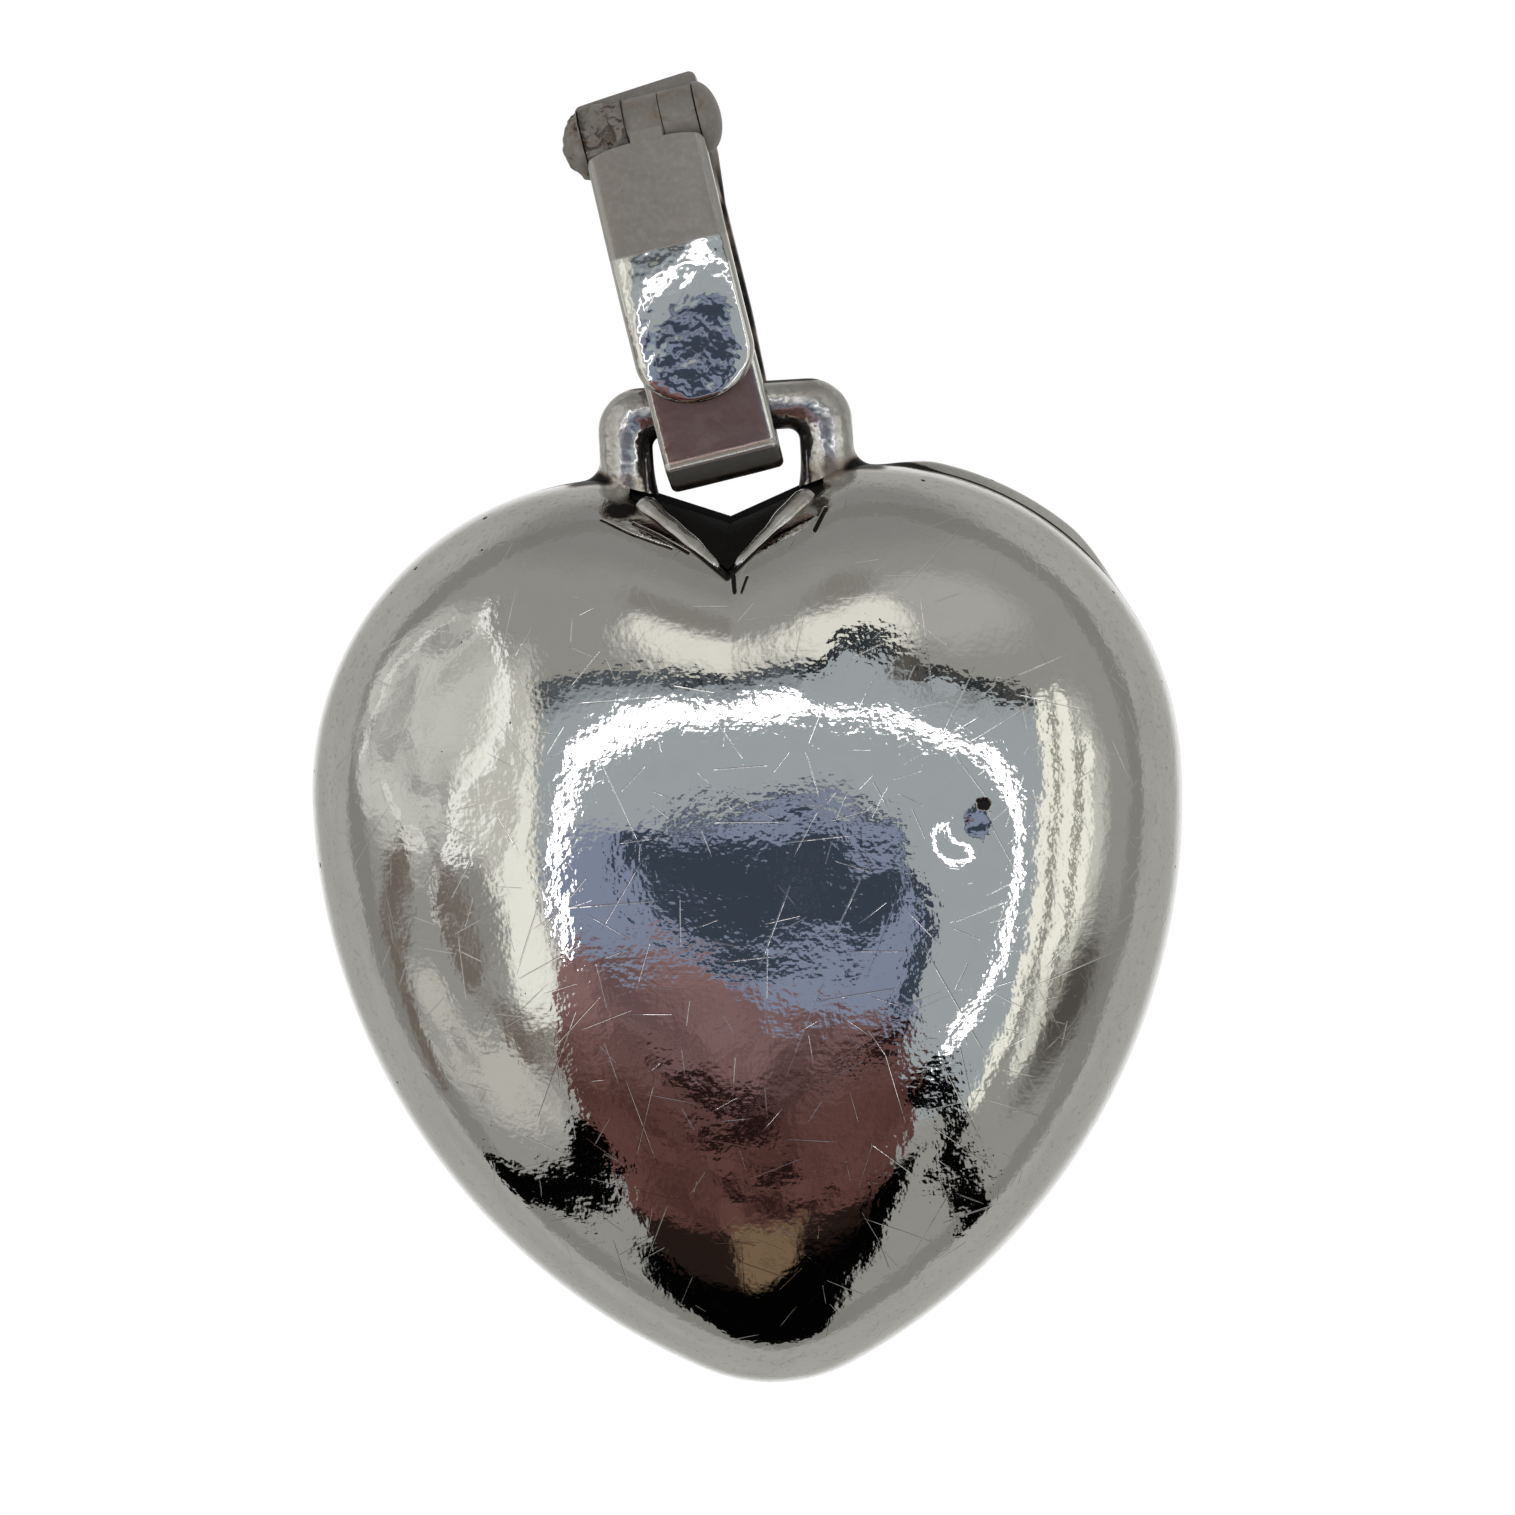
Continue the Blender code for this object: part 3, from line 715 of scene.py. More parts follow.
def back_bulge(vert):
    """The back dome stands out past the front one at the upper right."""
    spot = vert.co
    middle = lobe_top() - bpy.context.scene.pendant_heart.crown_drop
    drop = lobe_top() + bpy.context.scene.pendant_heart.loop_rise
    turn = degrees(atan2(spot.z - middle + drop, spot.x))
    share = eased(turn, *BULGE_START) * (1 - eased(turn, *BULGE_END))
    share *= eased(spot.y, *BULGE_STEP) * (1 - eased(spot.y, *BULGE_FADE))
    return Vector((cos(radians(turn)), 0, sin(radians(turn)))) * (BULGE * share)


def face_out(thing, middle):
    """Turns an open dome's faces away from a point inside it."""
    mesh = thing.data
    face = mesh.polygons[len(mesh.polygons) // 2]
    if face.normal.dot(face.center - middle) < 0:
        mesh.flip_normals()


class PENDANT_OT_shells(bpy.types.Operator):
    """Models the heart's front and back domes, with the wall of the sheet."""
    bl_idname = "pendant.shells"
    bl_label = "Heart shells"

    def execute(self, context):
        sizes = context.scene.pendant_heart
        middle = Vector((0, 0, -sizes.crown_drop - sizes.loop_rise))
        for name, node, depth, side, slot, finish in (
            ("front_dome", "front_shell", sizes.front_depth, -1, "polished_silver", DOMED),
            ("back_dome", "back_shell", sizes.back_depth, 1, "worn_silver", REAR),
        ):
            thing = dome(name, depth, side)
            face_out(thing, middle)
            apply_modifier(
                thing, "SOLIDIFY", thickness=sizes.wall, offset=-1, use_even_offset=True)
            if side < 0:
                rings = cleft_rings(
                    sizes.lobe_radius, SEAT_GAP, STRIP_HALF_WIDTH + SEAT_GAP,
                    (-0.1, *STRIP_STEPS))
                cut(thing, drawn_out("cleft_cutter", rings, "FILL", "FILL"), "DIFFERENCE")
            material = silver(name + "_silver", finish, dome_tarnish)
            dress(thing, heart_frame(), "heart", slot, material, [node])
        return {"FINISHED"}


def heart_body(name, inset):
    """The whole heart as one closed tool, smaller by the inset."""
    sizes = bpy.context.scene.pendant_heart
    front = drawn_out(name, dome_rings(sizes.front_depth, -1, inset)[::3], end="MERGE")
    back = drawn_out(name + "_back", dome_rings(sizes.back_depth, 1, inset)[::3], end="MERGE")
    deselect()
    front.select_set(True)
    back.select_set(True)
    bpy.context.view_layer.objects.active = front
    bpy.ops.object.join()
    bpy.ops.object.mode_set(mode="EDIT")
    bpy.ops.mesh.select_all(action="SELECT")
    bpy.ops.mesh.remove_doubles(threshold=MM / 1000)
    bpy.ops.mesh.normals_make_consistent(inside=False)
    bpy.ops.object.mode_set(mode="OBJECT")
    return front


def cleft_fold(x):
    """The folded strip at a place across: its run forward, and its height at back and front."""
    bottom = half_outline()[-1][1] - lobe_top() - bpy.context.scene.pendant_heart.loop_rise
    return (
        CUT_TIP_DEPTH - abs(x) * tan(CUT_SWEEP),
        bottom - CUT_BACK_DROP + abs(x) * tan(CLEFT_TURN - pi),
        bottom - CUT_TIP_DROP + abs(x) * tan(CUT_SLOPE),
    )


def cleft_rings(thickness, lift, half_width, steps, sides=4):
    """Rings of the folded strip, from behind the seam to beyond the front dome."""
    rings = []
    for t in steps:
        line = []
        for share in range(-sides, sides + 1):
            x = half_width * share / sides
            run, back, front = cleft_fold(x)
            line.append((x, -t * run, back + (front - back) * t))
        lower = [(x, y, z - lift) for x, y, z in line]
        upper = [(x, y, z + thickness) for x, y, z in reversed(line)]
        rings.append(lower + upper)
    return rings


def dome_height(x, y):
    """Height of the front dome's upper surface above a place across and forward."""
    sizes = bpy.context.scene.pendant_heart
    half = half_outline()
    peak_x, peak_z = max(half, key=lambda spot: spot[1])
    crown = lobe_top() - sizes.crown_drop
    lift = (-y - SKIRT) / (sizes.front_depth - SKIRT)
    shrink, fade = ring_shape(asin(min(max(lift, 0), 1)))
    spot = abs(x) / shrink
    z = half[-1][1]
    for (far_x, far_z), (near_x, near_z) in zip(half, half[1:]):
        if near_x <= spot <= far_x and near_z > crown:
            z = far_z + (near_z - far_z) * (far_x - spot) / (far_x - near_x)
    if spot < peak_x:
        z += (peak_z - z) * fade
    return crown + (z - crown) * shrink - lobe_top() - sizes.loop_rise


def cleft_height(x, y):
    """Height of the folded strip's underside at a place across and forward."""
    run, back, front = cleft_fold(x)
    return back + (front - back) * -y / run


def cleft_front(x, lift=0.0):
    """Where a line that far above the strip's underside comes out of the front dome."""
    near, far = 0.0, -CUT_REACH * CUT_TIP_DEPTH
    for _ in range(HALVINGS):
        y = (near + far) / 2
        if cleft_height(x, y) + lift < dome_height(x, y):
            near = y
        else:
            far = y
    return Vector((x, near, cleft_height(x, near) + lift))


def cleft_bead(side):
    """One rounded bead of solder along the strip's front edge."""
    (low_x, low_radius), (high_x, high_radius) = BEAD_ENDS
    spots, radii = [], []
    for step in range(BEAD_STEPS + 1):
        share = step / BEAD_STEPS
        x = low_x + (high_x - low_x) * share
        lump = 1 + sum(size * sin(turn * share + by * side) for size, turn, by in BEAD_LUMPS)
        end = sqrt(max(1 - abs(2 * share - 1) ** BEAD_END, 0))
        spots.append(cleft_front(side * x) + Vector((0, BEAD_DEPTH, 0)))
        radii.append((low_radius + (high_radius - low_radius) * share ** BEAD_SWELL) * lump * end)
    rings = []
    for i, spot in enumerate(spots):
        way = (spots[min(i + 1, BEAD_STEPS)] - spots[max(i - 1, 0)]).normalized()
        up = way.cross(Vector((0, 1, 0))).normalized()
        deep = way.cross(up)
        turns = [2 * pi * step / BEAD_SIDES for step in range(BEAD_SIDES)]
        rings.append([spot + radii[i] * (cos(turn) * up + sin(turn) * deep) for turn in turns])
    return drawn_out("cleft_bead", rings, "MERGE", "MERGE")


class PENDANT_OT_strip(bpy.types.Operator):
    """Models the folded strip that closes the cut at the cleft, with a bead on each side."""
    bl_idname = "pendant.strip"
    bl_label = "Cleft strip"

    def execute(self, context):
        rings = cleft_rings(STRIP_THICKNESS, 0.0, STRIP_HALF_WIDTH, STRIP_STEPS, 10)
        thing = drawn_out("cleft_strip", rings, "FILL", "FILL")
        cut(thing, heart_body("dome_envelope", STRIP_SUNK), "INTERSECT")
        dress(thing, heart_frame(), "heart", "darkened_silver",
              silver("cleft_strip_silver", DARKENED, strip_tarnish), ["cleft_gusset"])
        for side, name in ((-1, "left_cleft_bead"), (1, "right_cleft_bead")):
            bead = cleft_bead(side)
            bead.name = bead.data.name = name
            dress(bead, heart_frame(), "heart", "worn_silver",
                  silver(name + "_silver", SOLDERED), [])
        return {"FINISHED"}


def staple(half_span, top, radius):
    """Corners of a staple, from inside the left lobe over to inside the right."""
    foot = -(bpy.context.scene.pendant_heart.loop_rise + LOOP_DEPTH)
    return [
        (-half_span, foot, 0),
        (-half_span, top, radius),
        (half_span, top, radius),
        (half_span, foot, 0),
    ]


def hollow_face(x, z, width, height):
    """A quarter oval from above a place to beside it."""
    turns = [pi / 2 * step / BEND_STEPS for step in range(BEND_STEPS + 1)]
    return [(x + width * (1 - cos(turn)), z + height * (1 - sin(turn))) for turn in turns]


def wedge(side, outline):
    """A wedge of solder on one side, from an outline whose first point is in the leg."""
    inside = outline[0][0]
    rings = []
    for share in WEDGE_STEPS:
        narrow = sqrt(1 - share * share * WEDGE_ROUND)
        rings.append([
            (side * (inside + (x - inside) * narrow), share * FILLET_DEPTH / 2, z)
            for x, z in outline
        ])
    return drawn_out("fillet", rings, "FILL", "FILL")


def fillet(side, leg_face):
    """A hollow-faced wedge of solder between a foot's outer side and the lobe."""
    sizes = bpy.context.scene.pendant_heart
    inside = leg_face - bpy.context.scene.pendant_bail.loop_leg / 3
    low = -(sizes.loop_rise + LOOP_DEPTH / 2)
    outline = [(inside, low), (inside, FILLET_HEIGHT - sizes.loop_rise)]
    outline += hollow_face(leg_face, -sizes.loop_rise, FILLET_WIDTH, FILLET_HEIGHT)
    outline.append((leg_face + FILLET_WIDTH, low))
    return wedge(side, outline)


def inner_fillet(side, leg_face):
    """The thin solder up the inner side of a leg."""
    width, height, foot = INNER_FILLET
    outline = [(leg_face + width, foot), (leg_face + width, foot + height)]
    return wedge(side, outline + hollow_face(leg_face, foot, -width, height))


class PENDANT_OT_loop(bpy.types.Operator):
    """Models the staple-shaped loop with its solder."""
    bl_idname = "pendant.loop"
    bl_label = "Fixed loop"

    def execute(self, context):
        sizes = context.scene.pendant_bail
        inside = sizes.loop_inside / 2
        outside = inside + sizes.loop_leg
        outer = rounded_path(staple(outside, sizes.loop_bar / 2, LOOP_OUTER_RADIUS))
        inner = rounded_path(staple(inside, -sizes.loop_bar / 2, LOOP_INNER_RADIUS))
        rings = []
        for out_point, in_point in zip(outer, inner):
            middle = (out_point + in_point) / 2
            arm = (out_point - in_point) / 2
            ring = []
            for step in range(WIRE_STEPS):
                angle = 2 * pi * step / WIRE_STEPS
                across = copysign(abs(cos(angle)) ** LOOP_FULLNESS, cos(angle))
                deep = copysign(abs(sin(angle)) ** LOOP_FULLNESS, sin(angle))
                spot = middle + arm * across
                ring.append((spot.x, deep * LOOP_DEPTH / 2, spot.y))
            rings.append(ring)
        thing = drawn_out("staple_loop", rings, "FILL", "FILL")
        for solder, face in ((fillet, outside), (inner_fillet, inside)):
            for side in (-1, 1):
                cut(thing, solder(side, face), "UNION")
        cut(thing, heart_body("loop_seat", SEAT_GAP), "DIFFERENCE")
        dress(thing, heart_frame(), "heart", "worn_silver",
              silver("staple_loop_silver", DRAWN, loop_tarnish), ["hanging_loop"])
        return {"FINISHED"}


def hinge_profile(room, tube=None):
    """Profile of the room round the hinge, narrower between the outer tubes where asked."""
    sizes = bpy.context.scene.pendant_bail
    beyond = sizes.strap_width / 2 + sizes.left_knuckle
    middle = []
    if tube:
        left, right = LEFT_SPLIT + RUN_GAP / 2, RIGHT_SPLIT - RUN_GAP / 2
        middle = [(left, room), (left, tube), (right, tube), (right, room)]
    return [(-beyond, 0), (-beyond, room), *middle, (beyond, room), (beyond, 0)]


class PENDANT_OT_strap(bpy.types.Operator):
    """Models the bail's strap, from its lip round the hook and up the back to the hinge."""
    bl_idname = "pendant.strap"
    bl_label = "Bail strap"

    def execute(self, context):
        sizes = context.scene.pendant_bail
        top = HINGE_RISE + sizes.left_knuckle + RUN_GAP + STRAP_TOP_RISE
        end = STRAP_END_BACK - HINGE_FORWARD
        corners = [(-STRAP_FRONT, LIP_RISE, 0)]
        corners += [(y * MM, z * MM, radius * MM) for y, z, radius in HOOK_CORNERS]
        corners += [(STRAP_BACK, top, STRAP_BACK - end - sizes.edge_round), (end, top, 0)]
        outer = rounded_path(corners)
        inner = rounded_path(corners, sizes.strap_thickness)
        half_widths = []
        for point in outer:
            share = min(max((point.y - FLARE_RISE) / FLARE_LENGTH, 0), 1)
            half_widths.append(
                (sizes.strap_width + (sizes.strap_top_width - sizes.strap_width) * share) / 2)
        rings = plate_rings(outer, inner, half_widths, sizes.edge_round, 0.02 * MM)
        thing = drawn_out("strap", rings, "FILL", "FILL")
        half = sizes.strap_top_width / 2

        def bent(vert):
            spot = vert.co
            droop = eased(spot.z, top - DROOP_DEPTHS[0], top - DROOP_DEPTHS[1])
            droop *= (half - spot.x) / (2 * half)
            rear = eased(spot.y, *TWIST_BACK) * (1 - eased(spot.z, *TWIST_RISE))
            return Vector((-STRAP_TWIST * rear, 0, -STRAP_DROOP * droop))

        pushed(thing, bent)
        room = turned("hinge_room", hinge_profile(sizes.left_knuckle + RUN_GAP))
        room.location = (0, -HINGE_FORWARD, HINGE_RISE)
        cut(thing, room, "DIFFERENCE")
        dress(thing, bail_frame(), "bail", "polished_silver",
              silver("strap_silver", BENT, strap_tarnish_and_lip_reflection), ["back_strap"])
        return {"FINISHED"}


class PENDANT_OT_leaf(bpy.types.Operator):
    """Models the bail's front leaf, with its round end and snap bead."""
    bl_idname = "pendant.leaf"
    bl_label = "Bail leaf"

    def execute(self, context):
        sizes = context.scene.pendant_bail
        face = -(STRAP_FRONT + RUN_GAP + sizes.leaf_thickness)
        bow = Vector((face + LEAF_BOW_BACK, LEAF_BOW_TOP))
        arm = Vector((-HINGE_FORWARD, HINGE_RISE)) - bow
        reach = sqrt(arm.length_squared - LEAF_TOUCH ** 2)
        way = atan2(arm.y, arm.x) + asin(LEAF_TOUCH / arm.length)
        touch = bow + reach * Vector((cos(way), sin(way)))
        corners = [
            (face, LEAF_END_RISE, 0),
            (face, (LEAF_BOW_LOW + LEAF_BOW_TOP) / 2, LEAF_BOW_RADIUS),
            (*bow, LEAF_BEND_RADIUS),
            (*touch, 0),
        ]
        outer, inner, half_widths, thins = [], [], [], []
        for step in range(LEAF_END_STEPS + 1):
            angle = LEAF_END_TURN * (1 - step / LEAF_END_STEPS)
            rise = LEAF_END_LENGTH * (1 - sin(angle))
            outer.append(Vector((face, LEAF_END_RISE + rise)))
            inner.append(Vector((face + sizes.leaf_thickness, LEAF_END_RISE + rise)))
            half_widths.append(sizes.leaf_width / 2 * cos(angle))
            nearness = max(1 - rise / sizes.edge_round, 0)
            flat = 1 - 2 * sizes.edge_round / sizes.leaf_thickness
            thins.append(flat + (1 - flat) * sqrt(1 - nearness * nearness))
        outer += rounded_path(corners)[1:]
        inner += rounded_path(corners, -sizes.leaf_thickness)[1:]
        half_widths += [sizes.leaf_width / 2] * (len(outer) - len(half_widths))
        thins += [1] * (len(outer) - len(thins))
        rings = plate_rings(outer, inner, half_widths, sizes.edge_round, LEAF_CROWN, thins)
        thing = drawn_out("leaf", rings, "FILL", "FILL")
        room = turned("tube_room", hinge_profile(
            sizes.left_knuckle + RUN_GAP, sizes.knuckle + SEAT_GAP))
        room.location = (0, -HINGE_FORWARD, HINGE_RISE)
        cut(thing, room, "DIFFERENCE")
        dress(thing, bail_frame(), "leaf", "polished_silver",
              silver("leaf_silver", FLAT, leaf_tarnish), ["front_leaf"])

        turns = [pi / 2 * step / SNAP_STEPS for step in range(SNAP_STEPS)]
        profile = [(SNAP_HEIGHT * sin(turn), SNAP_RADIUS * cos(turn)) for turn in turns]
        bead = turned("bead", [(0, 0), *profile, (SNAP_HEIGHT, 0)])
        base = -(STRAP_FRONT + RUN_GAP) + SEAT_GAP
        spot = Matrix.Translation((0, base, LIP_RISE + RUN_GAP + SNAP_RADIUS))
        dress(bead, bail_frame() @ spot @ Matrix.Rotation(pi / 2, 4, "Z"), "leaf",
              "worn_silver", silver("bead_silver", DRAWN), ["snap_bead"])
        return {"FINISHED"}


def tube_profile(start, end, radius):
    bore = PIN_RADIUS + RUN_GAP
    near, far = start + KNUCKLE_CHAMFER, end - KNUCKLE_CHAMFER
    steps = range(TUBE_STEPS + 1)
    face = [(near + (far - near) * step / TUBE_STEPS, radius) for step in steps]
    return [
        (start, bore),
        (start, radius - KNUCKLE_CHAMFER),
        *face,
        (end, radius - KNUCKLE_CHAMFER),
        (end, bore),
    ]


def tube_lumps(vert, radius):
    """Lumps on a tube's outer side only, straight out from the pin's line."""
    out = Vector((0, vert.co.y, vert.co.z))
    share = eased(out.length, radius - KNUCKLE_CHAMFER, radius - KNUCKLE_CHAMFER / 4)
    return out.normalized() * (lumps(vert.co) * share)


def head_lumps(vert, half):
    """Lumps on the pin's left head only."""
    return vert.normal * lumps(vert.co) * eased(-vert.co.x, half, half + LUMPY_FROM)


class PENDANT_OT_hinge(bpy.types.Operator):
    """Models the three hinge tubes and the pin with its peened heads."""
    bl_idname = "pendant.hinge"
    bl_label = "Hinge"

    def execute(self, context):
        sizes = context.scene.pendant_bail
        half = sizes.strap_width / 2
        left, right = LEFT_SPLIT - RUN_GAP / 2, RIGHT_SPLIT + RUN_GAP / 2
        for name, start, end, radius, body, slot, finish in (
            ("left_tube", -half, left, sizes.left_knuckle, "bail", "rough_solder", LUMPY),
            ("right_tube", right, half, sizes.knuckle, "bail", "worn_silver", SOLDERED),
            ("middle_tube", left + CLOSE_GAP, right - CLOSE_GAP, sizes.knuckle, "leaf",
             "worn_silver", SOLDERED),
        ):
            node = name.replace("_tube", "_knuckle").replace("middle", "centre")
            thing = turned(name, tube_profile(start, end, radius), closed=True)
            if finish is LUMPY:
                pushed(thing, lambda vert: tube_lumps(vert, radius))
            dress(thing, hinge_frame(), body, slot,
                  silver(name + "_silver", finish, hinge_tarnish), [node])
        face = half + SEAT_GAP
        head = [(face, PIN_RADIUS)]
        for step in range(HEAD_STEPS):
            angle = pi / 2 * step / HEAD_STEPS
            head.append((face + HEAD_HEIGHT * sin(angle), HEAD_RADIUS * cos(angle)))
        head.append((face + HEAD_HEIGHT, 0))
        pin = turned("pin", [(-along, radius) for along, radius in reversed(head)] + head)
        pushed(pin, lambda vert: head_lumps(vert, half))
        dress(pin, hinge_frame(), "bail", "worn_silver",
              silver("pin_silver", SOLDERED, hinge_tarnish), ["hinge_pin"])
        return {"FINISHED"}


# Finishes, with the heights of waves, grain and ripples in millimetres
DOMED = {"color": "polished", "rough": 0.03, "wave": 0.018, "grain": 0.006, "scratches": 1.0,
         "pits": 0.45, "stain": 0.08}
REAR = {"color": "worn", "rough": 0.13, "wave": 0.02, "grain": 0.004, "scratches": 1.0,
        "pits": 0.6, "stain": 0.2}
FLAT = {"color": "polished", "rough": 0.06, "wave": 0.01, "grain": 0.003, "scratches": 0.2,
        "pits": 0.5, "stain": 0.12, "ripple": 0.05, "ripple_scale": 1.25}
BENT = {"color": "polished", "rough": 0.12, "wave": 0.01, "grain": 0.004, "scratches": 0.15,
        "pits": 0.5, "stain": 0.35, "ripple": 0.025}
DRAWN = {"color": "polished", "rough": 0.11, "wave": 0.012, "grain": 0.008, "scratches": 0.3,
         "pits": 0.5, "stain": 0.4, "ripple": 0.07}
SOLDERED = {"color": "worn", "rough": 0.24, "wave": 0.01, "grain": 0.006, "scratches": 0.3,
            "pits": 0.7, "stain": 0.8, "ripple": 0.05}
DARKENED = {"color": "worn", "rough": 0.5, "wave": 0.01, "grain": 0.006, "scratches": 0.2,
            "pits": 0.5, "stain": 0.5}
LUMPY = {"color": "worn", "rough": 0.3, "wave": 0.01, "grain": 0.008, "scratches": 0.1,
         "pits": 1.0, "stain": 0.9, "ripple": 0.05, "holes": 1.0}

NOISES = {  # scale in each millimetre, octaves, roughness and distortion
    "wave": (0.3, 2.0),
    "grain": (4.0, 1.5, 0.5),
    "mottle": (0.9, 4.0, 0.65),
    "speck": (4.6, 3.0, 0.6),
    "brush": (1.0, 2.0, 0.6),
    "holes": (1.9, 4.0, 0.7, 1.2),
    "blot": (1.7, 4.0, 0.7),
    "crooked": (2.6, 3.0),
}
RIPPLE_SCALE = 1.6
SCRATCH_SETS = (  # cells in each millimetre, half length, half width and share left out
    (0.21, 2.4, 0.03, 0.2),
    (0.29, 1.7, 0.026, 0.1),
    (0.43, 1.2, 0.022, 0.1),
    (0.71, 0.7, 0.02, 0.3),
)
BRUSHES = ((0.1, 3.0), (1.5, 4.0))  # turn, and length of the marks
PIT_CELLS = 1.25

# Relief in millimetres
SCRATCH_DEPTH = 0.0028
BRUSH_DEPTH = 0.0009
PIT_DEPTH = 0.05
HOLE_DEPTH = 0.14
GROOVE_DEPTH = 0.08
RIM_RELIEF = 0.008

CLEFT_LINES = (  # across and up in the heart's frame, and half width, in millimetres
    (((-3.17, -3.74), (-2.3, -4.2), (-1.31, -4.83)), 0.025),
    (((-4.27, -3.55), (-3.2, -4.1), (-1.87, -4.65)), 0.01),
    (((0.18, -5.2), (0.22, -5.9), (0.25, -6.21)), 0.05),
    (((0.69, -5.75), (0.49, -6.25)), 0.015),
    (((3.45, -3.6), (3.06, -4.3)), 0.04),
    (((-0.65, -5.12), (-0.27, -5.49)), 0.02),
)
HINGE_LINES = (  # across and up in the bail's frame, and half width, in millimetres
    (((0.62, 10.55), (0.85, 10.85), (1.5, 10.95), (2.1, 10.75), (2.3, 10.35), (2.0, 10.05),
      (1.2, 9.95), (0.7, 10.2), (0.62, 10.55)), 0.03),
    (((-0.5, 11.0), (-0.55, 10.5), (-0.4, 10.1)), 0.03),
)


def scratches(nodes, place, scale, reach, width, keep):
    """Straight scratches, one in each cell of a pattern, turned any way across the front."""
    spot = nodes.add(
        "ShaderNodeTexVoronoi", None, {"Vector": place, "Scale": scale, "Randomness": 1.0}, "Position")
    pick, turn, _ = nodes.split(Value(nodes, spot.socket.node.outputs["Color"]))
    x, _, z = nodes.split(nodes.vector("SUBTRACT", place, spot))
    turn = turn * (2 * pi)
    level, rise = turn.math("COSINE"), turn.math("SINE")
    across = abs(x * rise - z * level)
    along = abs(x * level + z * rise)
    line = (1 - across.smooth(width * 0.3, width)) * (1 - along.smooth(reach * 0.3, reach))
    return line * pick.smooth(keep, keep + 0.5)


def silver(name, finish, tarnish=None):
    """Worn silver with dents, scratches, pinholes and tarnish, as the finish says.

    The tarnish function gives black soot, a red tint that is a painted reflection, a dull skin,
    grooves and a pitted rim, each from 0 to 1 over the piece, and a twist as a height in millimetres.
    """
    colors = bpy.context.scene.pendant_finish
    material = bpy.data.materials.new(name)
    material.use_nodes = True
    nodes = Nodes(material.node_tree)
    place = nodes.add("ShaderNodeTexCoord", None, (), "Object")
    place = nodes.add(
        "ShaderNodeVectorMath", {"operation": "SCALE"}, {0: place, "Scale": 1 / MM})
    wave, grain, mottle, speck = (
        nodes.noise(place, *NOISES[kind]) for kind in ("wave", "grain", "mottle", "speck"))
    marks = tarnish(nodes, place, mottle) if tarnish else {}
    rim = marks.get("rim")
    dull = marks.get("dull")
    height = wave * (finish["wave"] * 3) + grain * finish["grain"]
    if finish.get("ripple"):
        ripple = nodes.noise(place, finish.get("ripple_scale", RIPPLE_SCALE), 2.0)
        height = height + ripple * finish["ripple"]
    if "twist" in marks:
        height = height + marks["twist"]

    # Scratches of several lengths
    lines = reduce(Value.most, [scratches(nodes, place, *each) for each in SCRATCH_SETS])
    height = height - lines * (SCRATCH_DEPTH * finish["scratches"])
    for turn, long in BRUSHES:
        brushed = nodes.add("ShaderNodeMapping", {"vector_type": "TEXTURE"}, {
            "Vector": place, "Rotation": (0, turn, 0), "Scale": (long, 1.0, 0.13)})
        brushed = nodes.noise(brushed, *NOISES["brush"])
        height = height + brushed * (BRUSH_DEPTH * finish["scratches"])

    # Pinholes, more of them near the rim
    cells = {"Vector": place, "Scale": PIT_CELLS, "Randomness": 1.0}
    off = nodes.add("ShaderNodeTexVoronoi", None, cells, "Distance")
    pick = nodes.split(Value(nodes, off.socket.node.outputs["Color"]))[0]
    if rim:
        pick = pick + rim * 0.28
    pick = pick + (finish["pits"] - 1) * 0.4
    size = pick.smooth(0.6, 1.1) * 0.12
    pit = (1 - (off - size).smooth(-0.015, 0.03)) * pick.smooth(0.6, 0.64)
    height = height - pit * PIT_DEPTH
    if finish.get("holes"):
        hole = nodes.noise(place, *NOISES["holes"]).smooth(0.52, 0.66)
        height = height - hole * HOLE_DEPTH
        pit = pit.most(hole * 0.6)

    # Tarnish, thickest in the corners and pits
    stain = mottle.smooth(0.42, 0.72) * finish["stain"]
    colour = nodes.mix(stain * 0.7, tuple(getattr(colors, finish["color"])), tuple(colors.brown))
    # The red tint is a painted reflection of the warm tent, where the tarnish function marks it.
    if "red" in marks:
        colour = nodes.mix(marks["red"] * 0.9, colour, tuple(colors.red))
    soot = pit * 0.85
    if "soot" in marks:
        soot = soot.most(marks["soot"])
    if "groove" in marks:
        height = height - marks["groove"] * GROOVE_DEPTH
        soot = soot.most(marks["groove"] * 0.9)
    rough = mottle * 0.05 + (finish["rough"] - 0.02) + soot * 0.35
    if "red" in marks:
        rough = rough + marks["red"] * 0.16
    metal = 1 - soot.smooth(0.45, 0.95)
    if rim:
        worn = rim * speck.smooth(0.55, 0.68)
        colour = nodes.mix(worn * 0.3, colour, tuple(colors.brown))
        rough = rough + rim * 0.1
        height = height + (speck * rim) * RIM_RELIEF
    if dull:
        skin = nodes.mix(speck.smooth(0.3, 0.7), tuple(colors.skin), tuple(colors.worn))
        skin = nodes.mix(speck.smooth(0.35, 0.75) * 0.18, tuple(colors.skin), skin)
        colour = nodes.mix(dull, colour, skin)
        rough = rough + dull * 0.3
        metal = metal * (1 - dull * 0.55)
    colour = nodes.mix(soot.smooth(0.02, 0.45), colour, tuple(colors.brown))
    colour = nodes.mix(soot.smooth(0.25, 0.8), colour, tuple(colors.soot))
    bump = nodes.add("ShaderNodeBump", None, {
        "Strength": 1.0, "Distance": MM, "Height": height})
    shader = nodes.add("ShaderNodeBsdfPrincipled", None, {
        "Base Color": colour, "Metallic": metal, "Roughness": rough,
        "Specular IOR Level": 0.2, "Normal": bump})
    nodes.add("ShaderNodeOutputMaterial", None, (shader,))
    return material


